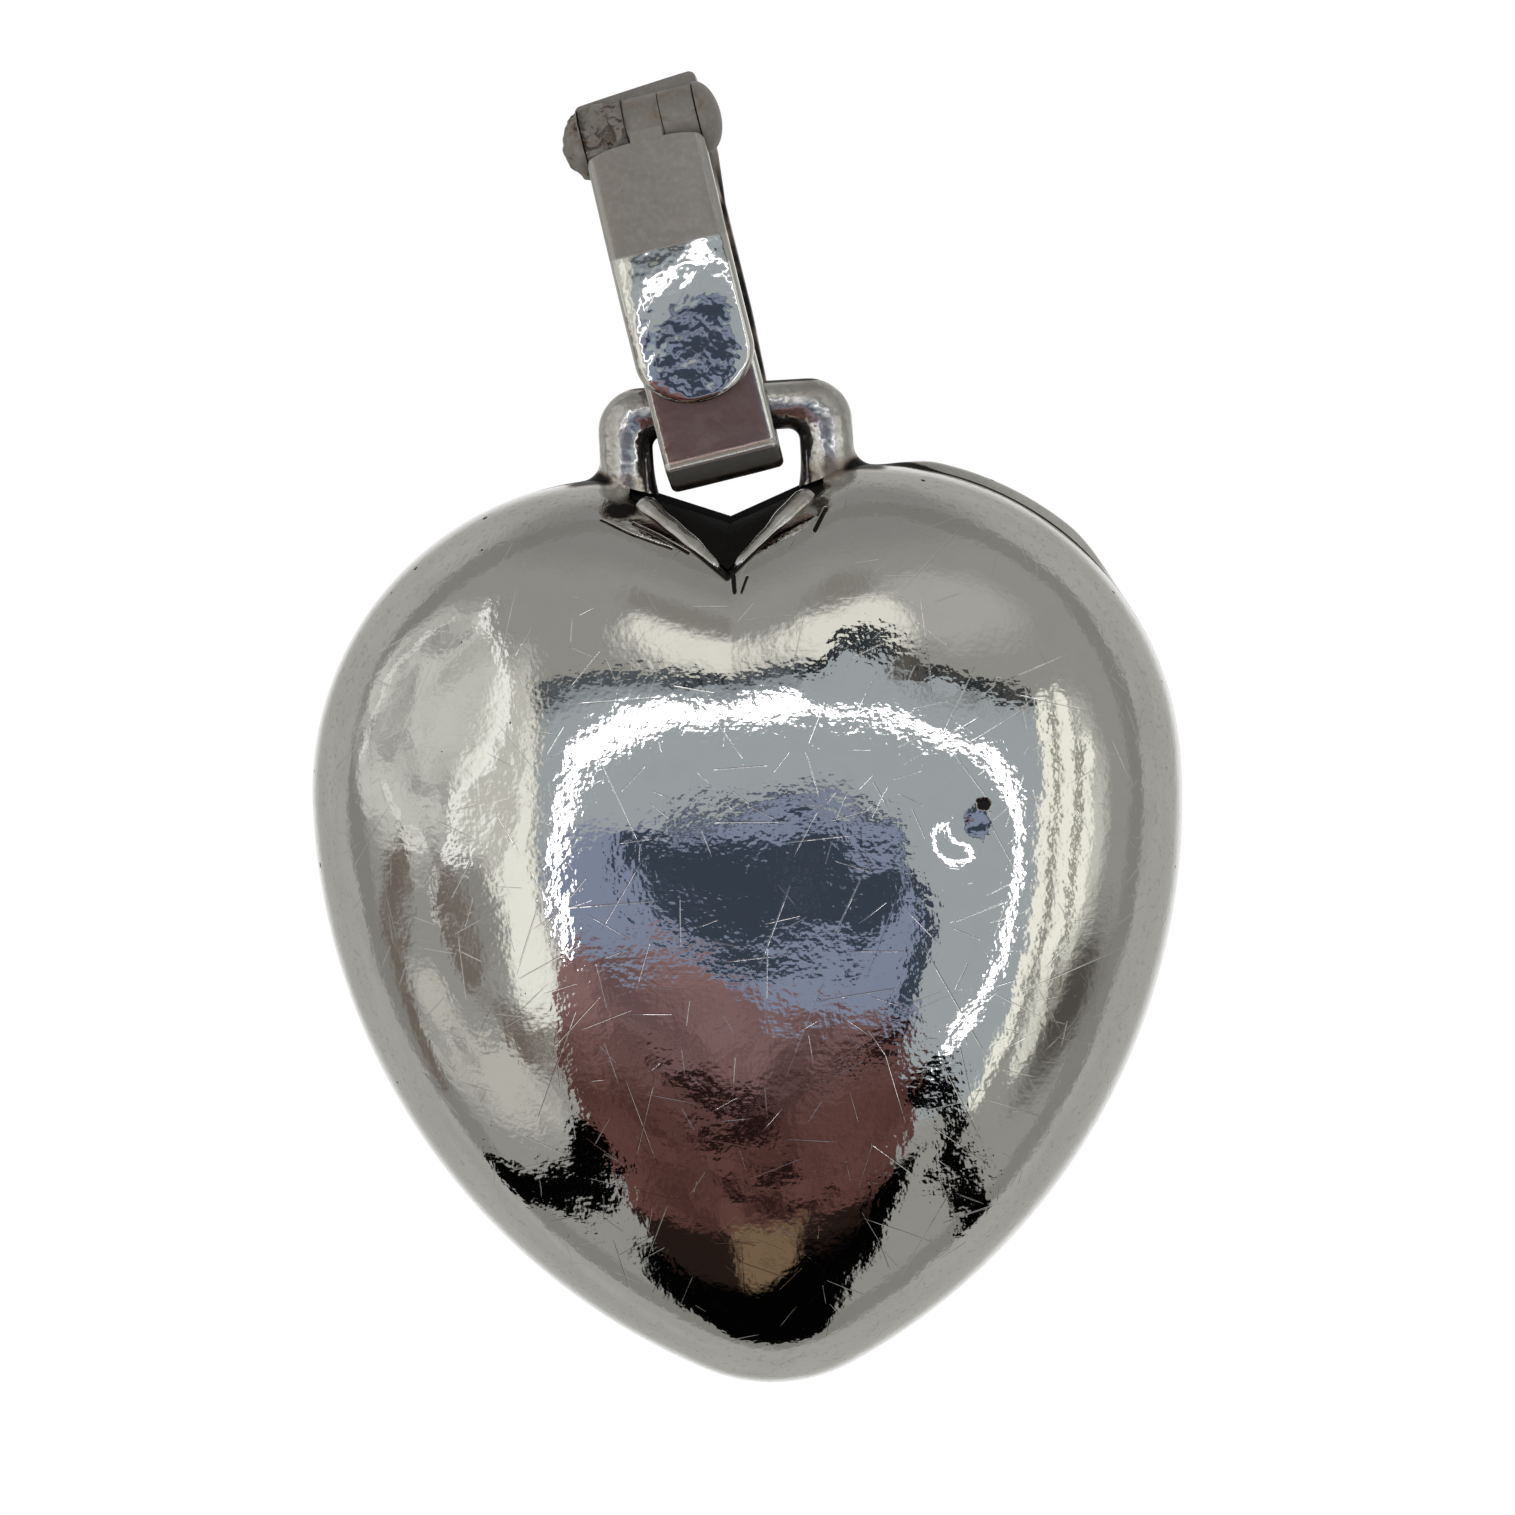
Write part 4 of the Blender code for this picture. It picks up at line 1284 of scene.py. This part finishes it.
def in_heart(nodes, place):
    """Across, back and up in the heart's frame, in millimetres."""
    x, y, z = nodes.split(place)
    return x - HEART_PLACE.x / MM, y, z - HEART_PLACE.z / MM


def in_bail(nodes, place):
    """Across, back and up in the bail's frame, in millimetres."""
    x, y, z = nodes.split(place)
    origin = bail_frame().translation / MM
    x, z = x - origin.x, z - origin.z
    return x * BAIL_ACROSS.x + z * BAIL_ACROSS.z, y, x * BAIL_UP.x + z * BAIL_UP.z


def feet_soot(nodes, x, y, z):
    """Black tarnish where the loop's feet stand on the lobes."""
    side = abs(x)
    foot = nodes.oval(side, z, (4.75, -2.35), (1.0, 0.6), 0.6)
    return foot * (1 - abs(y).smooth(0.9, 1.5))


def dome_tarnish(nodes, place, mottle):
    """Tarnish of the domes: the seam, the loop's feet, the cleft's edges and the rim."""
    x, y, z = in_heart(nodes, place)
    uneven = (mottle * 2.4 - 0.4).clamped()
    crooked = (nodes.noise(place, *NOISES["crooked"]) - 0.5) * 0.5
    near = 1 - abs(x).smooth(4.8, 7.6)
    breadth = near * (mottle * 1.2 + 0.2) + 0.12
    seam = (1 - (abs(y) / breadth).smooth(0.45, 1.0)) * z.smooth(-11, -5)
    thin = (1 - abs(y).smooth(0.03, 0.09)) * 0.8
    front = 1 - y.smooth(-1.2, -0.8)
    edge = [(spot.x / MM, spot.z / MM) for spot in (
        cleft_front(STRIP_HALF_WIDTH * share / 4, -SEAT_GAP) for share in range(-4, 5))]
    lip = nodes.stroke(x, z, edge, 0.04, 0.12)
    groove = nodes.strokes(x, z, CLEFT_LINES, 0.05)
    patch = nodes.oval(x + crooked, z + crooked, (-3.6, -3.25), (0.75, 0.35), 0.5)
    patch = patch * mottle.smooth(0.38, 0.55)
    pits = nodes.oval(x + crooked, z - crooked, (8.37, -13.92), (0.3, 0.24), 0.4)
    soot = seam.most(thin).most(feet_soot(nodes, x, y, z))
    soot = soot.most((lip * 0.9).most(patch) * front)
    rim = 1 - abs(y).smooth(2.6, 3.6)
    return {"soot": soot, "groove": (groove * uneven).most(pits) * front, "rim": rim}


def strip_tarnish(nodes, place, mottle):
    """The folded strip is black all over."""
    return {"soot": mottle.smooth(0.2, 0.6) * 0.1 + 0.9}


def loop_tarnish(nodes, place, mottle):
    """Tarnish of the loop: its feet, its inner side and the top of its bar."""
    x, y, z = in_heart(nodes, place)
    side = abs(x)
    uneven = (mottle * 1.8 - 0.3).clamped()
    inside = (1 - side.smooth(2.5, 2.72)) * (1 - z.smooth(-0.9, -0.7))
    under = (1 - side.smooth(2.4, 2.8)) * (1 - z.smooth(-0.8, -0.5))
    top = z.smooth(0.74, 0.82) * (x.smooth(-4.0, 1.0) * 0.4 + 0.6)
    feet = feet_soot(nodes, x, y, z)
    foot = (1 - z.smooth(-2.3, -1.7)) * 0.5
    soot = (inside * 0.9).most(under * 0.7).most(top).most(feet).most(foot * uneven)
    worn = side.smooth(3.0, 3.5).most(z.smooth(-0.2, 0.2))
    return {"soot": soot, "dull": mottle.smooth(0.3, 0.65) * 0.35 * worn + 0.08}


def strap_tarnish_and_lip_reflection(nodes, place, mottle):
    """Tarnish on the strap's sides and inner face, a dull skin at its top, and a painted red
    reflection on its lip.
    """
    across, back, up = in_bail(nodes, place)
    side = abs(across).smooth(1.9, 1.99) * (1 - up.smooth(7.5, 9.0)) * back.smooth(-1.9, -1.6)
    inside = back.smooth(-1.4, -1.1) * (1 - back.smooth(2.5, 2.75)) * (1 - up.smooth(6.5, 7.5))
    # On the lip's face the red tint is a painted reflection of the warm tent below.
    low = band(up, -1.5, 1.2, 0.2) * (1 - back.smooth(-1.2, -0.8))
    low = low * (1 - abs(across).smooth(1.72, 1.85))
    dull = up.smooth(6.5, 8.0).most((1 - up.smooth(-1.9, -1.5)) * 0.7)
    uneven = (mottle * 1.2 + 0.2).clamped()
    soot = (side.most(inside) * uneven * 0.85).most(low * mottle.smooth(0.5, 0.75) * 0.3)
    return {"soot": soot, "dull": dull, "red": low}


def leaf_tarnish(nodes, place, mottle):
    """The leaf is polished below its bend and dull above it, and its face is a little twisted."""
    across, back, up = in_bail(nodes, place)
    edge = 1 - abs(across).smooth(1.75, 1.95)
    dull = up.smooth(5.72, 5.82) * (edge * 0.6 + 0.4)
    inside = back.smooth(-2.45, -2.35) * (1 - up.smooth(6.0, 7.0))
    twist = (across * (up - 3.2)) * 0.022
    return {"soot": inside * 0.6, "dull": dull, "twist": twist}


def hinge_tarnish(nodes, place, mottle):
    """The hinge's dull skin, with the solder's seam lines."""
    across, back, up = in_bail(nodes, place)
    front = 1 - back.smooth(-0.4, 0.2)
    seam = nodes.strokes(across, up, HINGE_LINES, 0.06)
    blot = nodes.noise(place, *NOISES["blot"]).smooth(0.5, 0.7) * (1 - across.smooth(-0.9, 0.1))
    return {"dull": mottle.smooth(-2, -1), "groove": seam * front * mottle.smooth(0.35, 0.6) * 0.35,
            "soot": (mottle.smooth(0.5, 0.72) * 0.3).most(blot * 0.6) * front}


LIGHTS = {"black": (0.001, 0.001, 0.001), "white": (1.0, 1.0, 1.0), "lamp": (4.6, 4.5, 4.7)}
TONES = {  # as polished silver shows them, from 0 to 255
    "cloth": (152, 151, 146),
    "cloth fold": (162, 161, 156),
    "side": (140, 139, 134),
    "roof": (128, 127, 123),
    "ring": (112, 110, 104),
    "roof glow": (170, 168, 162),
    "front glow": (216, 214, 202),
    "roof shade": (118, 115, 106),
    "left wall": (190, 189, 181),
    "left wall, low": (176, 174, 165),
    "left glow": (226, 225, 214),
    "crease": (232, 231, 224),
    "crease shade": (120, 117, 110),
    "pale fold": (222, 221, 214),
    "dark fold": (104, 96, 88),
    "right wall": (188, 187, 177),
    "right streak": (232, 231, 217),
    "right shade": (118, 116, 104),
    "right patch": (76, 72, 68),
    "opening": (152, 158, 160),
    "opening edge": (40, 43, 46),
    "opening shade": (96, 102, 108),
    "opening mottle": (84, 80, 74),
    "cool": (122, 130, 150),
    "cool edge": (74, 80, 92),
    "cool dark": (52, 60, 72),
    "warm, high": (96, 74, 73),
    "warm fold, high": (128, 100, 98),
    "warm, low": (62, 38, 34),
    "warm fold, low": (92, 62, 57),
    "warm streak": (30, 18, 16),
    "foot": (34, 24, 20),
    "ochre": (112, 92, 70),
}


def tone(name):
    return LIGHTS[name] if name in LIGHTS else seen(*TONES[name])


class Tent:
    """The light tent that the silver mirrors, painted coat by coat.

    A place on it is a direction: azimuth from the front and elevation, both in degrees.
    """

    def __init__(self, nodes):
        self.nodes = nodes
        self.way = nodes.add("ShaderNodeTexCoord", None, (), "Generated")
        x, y, z = nodes.split(self.way)
        ripple = nodes.noise(self.way, 6.0, 3.0) - 0.5
        self.folds = nodes.noise(self.way, 4.5, 4.0, 0.6, 0.8)
        self.azimuth = x.math("ARCTAN2", -y) * degrees(1) + ripple * TENT_RIPPLE
        self.elevation = z.math("ARCSINE") * degrees(1) + ripple * TENT_RIPPLE
        self.facing = -y  # 1 towards the camera and -1 behind the pendant
        self.rippled_facing = self.facing + ripple * 0.12
        self.light = nodes.mix(self.folds.smooth(0.3, 0.7), tone("cloth"), tone("cloth fold"))

    def coat(self, share, colour):
        """Lays a colour, or a named tone, over the picture by a share from 0 to 1."""
        shade = tone(colour) if isinstance(colour, str) else colour
        self.light = self.nodes.mix(share, self.light, shade)

    def stroke(self, points, width, fade):
        return self.nodes.stroke(self.azimuth, self.elevation, points, width, fade)

    def oval(self, middle, radii, fade):
        return self.nodes.oval(self.azimuth, self.elevation, middle, radii, fade)

    def above(self, points):
        """Degrees above a line of (azimuth, elevation) points."""
        return self.elevation - self.nodes.profile(self.azimuth, points)


def paint_walls(tent):
    """The tent's walls and roof, and the folds and streaks of its cloth on both sides."""
    tent.coat(tent.rippled_facing.smooth(-0.115, -0.04), "side")
    tent.coat(tent.elevation.smooth(54, 72), "roof")
    tent.coat(band(tent.rippled_facing, -0.05, 0.08, 0.07) * 0.55, "ring")
    tent.coat(tent.oval((30, 40), (34, 15), 0.6) * 0.7, "roof glow")
    tent.coat(tent.stroke([(-2, 36), (5, 34), (12, 37)], 2.5, 8.0), "front glow")
    tent.coat(tent.oval((2, 50), (16, 9), 0.8) * 0.7, "roof shade")

    # Left wall
    folds = tent.folds
    tent.coat(tent.oval((-62, 20), (34, 30), 0.25) * folds.smooth(0.25, 0.62), "left wall")
    tent.coat(tent.oval((-60, -24), (26, 12), 0.4) * folds.smooth(0.38, 0.56), "left wall, low")
    tent.coat(tent.oval((-33, 4), (9, 33), 0.5), "left glow")
    soft = folds.smooth(0.2, 0.55)
    crease = [(-53, 45), (-40, 34), (-35, 22), (-35, 11), (-43, -3), (-52, -9)]
    tent.coat(tent.stroke(crease, 0.4, 1.6) * soft, "crease")
    shade = [(-49, 45), (-36, 34), (-31.5, 22), (-31.5, 9), (-40, -6), (-50, -13)]
    tent.coat(tent.stroke(shade, 0.6, 3.0) * 0.5, "crease shade")
    for fold in ([(-70, 5), (-62, -3), (-54, -3)], [(-84, 12), (-80, 30), (-66, 42)]):
        tent.coat(tent.stroke(fold, 0.3, 1.4) * soft * 0.7, "pale fold")
    for fold, width in (
        ([(-49, -7), (-49, -14), (-41, -21), (-34, -20)], 1.2),
        ([(-86, -26), (-80, -14), (-72, -9), (-64, -6)], 1.6),
    ):
        tent.coat(tent.stroke(fold, width, 3.5) * soft, "dark fold")

    # Right wall
    tent.coat(tent.oval((56, -6), (17, 30), 0.5) * folds.smooth(0.2, 0.6), "right wall")
    for streak, width in (
        ([(46, 15), (44, -5), (43, -31)], 0.96),
        ([(54, 16), (52, -5), (55, -30)], 1.2),
        ([(61, 6), (59, -10), (61, -26)], 0.72),
    ):
        tent.coat(tent.stroke(streak, width, 3.2), "right streak")
    for streak in ([(49, 14), (47.6, -6), (48.5, -28)], [(57, 10), (56, -8), (58, -28)]):
        tent.coat(tent.stroke(streak, 0.4, 1.0) * 0.7, "right shade")
    tent.coat(tent.oval((68, -26), (20, 14), 0.8), "right patch")


def paint_opening(tent):
    """The darker, cooler opening round the camera."""
    azimuth, folds = tent.azimuth, tent.folds
    roof = tent.above([(-28, 22), (-8, 29), (2, 28), (9, 34), (18, 25), (44, 18)])
    inside = (1 - roof.smooth(-0.6, 0.8)) * band(azimuth, -24, 41, 2)
    inside = inside * tent.elevation.smooth(-36, -30)
    tent.coat(inside, "opening")
    rim = band(roof, -2.6, 0.2, 0.6) * band(azimuth, -25, 42, 1)
    tent.coat(rim * folds.smooth(0.25, 0.4), "opening edge")
    tent.coat(inside * roof.smooth(-8, -4) * band(azimuth, -26, -4, 3) * 0.5, "opening shade")
    mottle = inside * roof.smooth(-9, -2) * azimuth.smooth(6, 12)
    tent.coat(mottle * folds.smooth(0.42, 0.6), "opening mottle")
    hill = tent.above([(-30, -3), (-14, 1), (-2, 4), (10, 2), (17, -8), (22, -28)])
    tent.coat(inside * (1 - hill.smooth(-0.8, 0.8)) * (1 - azimuth.smooth(19, 23)), "cool")
    edge = band(hill, -0.5, 0.6, 0.5) * inside * band(azimuth, -6, 20, 3)
    tent.coat(edge * folds.smooth(0.3, 0.5), "cool edge")
    deep = tent.stroke([(-9, -2), (0, -3), (9, -6)], 3.2, 1.0)
    deep = deep.most(tent.stroke([(15, -5), (19, -9), (17, -15)], 1.2, 0.8))
    tent.coat(deep * inside * folds.smooth(0.25, 0.45), "cool dark")


def paint_foot(tent):
    """The warm tones and the black below the opening, and the tent's thin black rods."""
    nodes, azimuth, elevation, folds = tent.nodes, tent.azimuth, tent.elevation, tent.folds
    floor = tent.above([
        (-95, -95), (-84, -62), (-68, -54), (-47, -48), (-38, -38), (32, -38), (45, -57),
        (59, -64), (86, -75), (97, -95)])
    tent.coat(1 - floor.smooth(-1.2, 1.2), "black")
    crest = tent.above([
        (-60, -95), (-49, -52), (-38, -37), (-33, -22), (-25, -8), (-6, -7), (4, -12), (18, -19),
        (25, -27), (28, -42), (36, -95)])
    warm = 1 - crest.smooth(-0.8, 0.8)
    soft = folds.smooth(0.3, 0.6)
    high = nodes.mix(soft, tone("warm, high"), tone("warm fold, high"))
    low = nodes.mix(soft, tone("warm, low"), tone("warm fold, low"))
    tent.coat(warm, nodes.mix(elevation.smooth(-26, -12), low, high))
    flat = nodes.add("ShaderNodeMapping", None, {"Vector": tent.way, "Scale": (3, 3, 16)})
    streaks = nodes.noise(flat, 1.0, 3.0, 0.6).smooth(0.47, 0.57)
    streaks = streaks * band(elevation, -38, -19, 3) * band(azimuth, -15, 17, 6)
    tent.coat(warm * streaks, "warm streak")
    foot = warm * (1 - elevation.smooth(-43, -40.5))
    tent.coat(foot, "foot")
    tent.coat(foot * band(azimuth, -17, 10, 7) * folds.smooth(0.3, 0.55), "ochre")
    base = tent.above([(-60, -50), (-40, -55), (-22, -58), (0, -56), (16, -46)])
    tent.coat(warm * (1 - base.smooth(-4, 2)), "black")
    for rod, width in (
        ([(-94, -40), (-72, -42)], 3.0),
        ([(-73, -43), (-52, -41), (-40, -34), (-36, -31)], 2.6),
        ([(25, -27), (34, -30), (45, -41), (59, -47), (75, -50), (97, -52)], 1.5),
    ):
        tent.coat(tent.stroke(rod, width, 0.9), "black")


def paint_lamp(tent):
    """The lamp's arch in the opening, and the white backdrop behind the pendant."""
    lamp = tent.stroke([
        (-24, -9), (-20, 4), (-14, 14), (-5, 19), (14, 14), (28, 8), (34, 2), (37, -8),
        (35, -19), (28, -24)], 0.1, 1.5)
    lamp = lamp.most(tent.stroke([(-16, 12), (-10, 17), (-5, 19)], 0.8, 2.6))
    sparks = tent.nodes.noise(tent.way, 45.0, 2.0)
    tent.coat((lamp - sparks).smooth(-0.1, 0.1), "lamp")
    tent.coat((-tent.facing).smooth(0.74, 0.97), "white")


class PENDANT_OT_stage(bpy.types.Operator):
    """Sets up the floor, the light tent and the camera."""
    bl_idname = "pendant.stage"
    bl_label = "Stage"

    def execute(self, context):
        scene = context.scene
        settings = scene.pendant_stage
        scene.view_settings.view_transform = "Standard"

        world = bpy.data.worlds.new("light_tent")
        world.use_nodes = True
        nodes = Nodes(world.node_tree)
        tent = Tent(nodes)
        for paint in (paint_walls, paint_opening, paint_foot, paint_lamp):
            paint(tent)
        tent.coat(nodes.add("ShaderNodeLightPath", None, (), "Is Camera Ray"), "white")
        background = nodes.add("ShaderNodeBackground", None, {"Color": tent.light, "Strength": 1.0})
        nodes.add("ShaderNodeOutputWorld", None, (background,))
        scene.world = world

        deselect()
        bpy.ops.mesh.primitive_plane_add(size=4, location=(0, 0, settings.floor_level))
        floor = context.object
        floor.name = "floor"
        bpy.ops.object.transform_apply(location=True, rotation=True, scale=True)
        material = bpy.data.materials.new("pale_floor")
        material.use_nodes = True
        nodes = Nodes(material.node_tree)
        matt = nodes.add("ShaderNodeBsdfDiffuse", None, {"Color": (0.8, 0.8, 0.8, 1)})
        white = nodes.add("ShaderNodeEmission", None, {"Color": (1, 1, 1, 1), "Strength": 1.0})
        ray = nodes.add("ShaderNodeLightPath", None, (), "Is Camera Ray")
        both = nodes.add("ShaderNodeMixShader", None, (ray, matt, white))
        nodes.add("ShaderNodeOutputMaterial", None, (both,))
        floor.data.materials.append(material)
        floor.visible_glossy = False

        azimuth, elevation, roll = settings.azimuth, settings.elevation, settings.roll
        back = Vector((
            sin(azimuth) * cos(elevation), -cos(azimuth) * cos(elevation), sin(elevation)))
        right = Vector((cos(azimuth), sin(azimuth), 0))
        up = back.cross(right)
        turned_right = right * cos(roll) + up * sin(roll)
        turned_up = up * cos(roll) - right * sin(roll)
        camera = bpy.data.objects.new("camera", bpy.data.cameras.new("camera"))
        scene.collection.objects.link(camera)
        turn = Matrix((turned_right, turned_up, back)).transposed()
        camera.matrix_world = Matrix.Translation(
            VIEW_MIDDLE + back * settings.distance) @ turn.to_4x4()
        camera.data.lens = settings.lens
        camera.data.sensor_width = SENSOR
        camera.data.clip_start = 10 * MM
        scene.camera = camera
        return {"FINISHED"}


class VIEW3D_PT_pendant(bpy.types.Panel):
    """Lists the pendant's pieces."""
    bl_label = "Pendant"
    bl_space_type = "VIEW_3D"
    bl_region_type = "UI"
    bl_category = "Pendant"

    def draw(self, context):
        for operator in OPERATORS:
            self.layout.operator(operator.bl_idname)


OPERATORS = (
    PENDANT_OT_shells,
    PENDANT_OT_strip,
    PENDANT_OT_loop,
    PENDANT_OT_strap,
    PENDANT_OT_leaf,
    PENDANT_OT_hinge,
    PENDANT_OT_stage,
)
GROUPS = (
    ("pendant_heart", HeartSizes),
    ("pendant_bail", BailSizes),
    ("pendant_finish", FinishColors),
    ("pendant_stage", StageSettings),
)


def register():
    for name, group in GROUPS:
        bpy.utils.register_class(group)
        setattr(bpy.types.Scene, name, bpy.props.PointerProperty(type=group))
    for operator in (*OPERATORS, VIEW3D_PT_pendant):
        bpy.utils.register_class(operator)


def unregister():
    for operator in (VIEW3D_PT_pendant, *reversed(OPERATORS)):
        bpy.utils.unregister_class(operator)
    for name, group in reversed(GROUPS):
        delattr(bpy.types.Scene, name)
        bpy.utils.unregister_class(group)


def main():
    register()
    bpy.ops.pendant.shells()
    bpy.ops.pendant.strip()
    bpy.ops.pendant.loop()
    bpy.ops.pendant.strap()
    bpy.ops.pendant.leaf()
    bpy.ops.pendant.hinge()
    bpy.ops.pendant.stage()


if __name__ == "__main__":
    main()
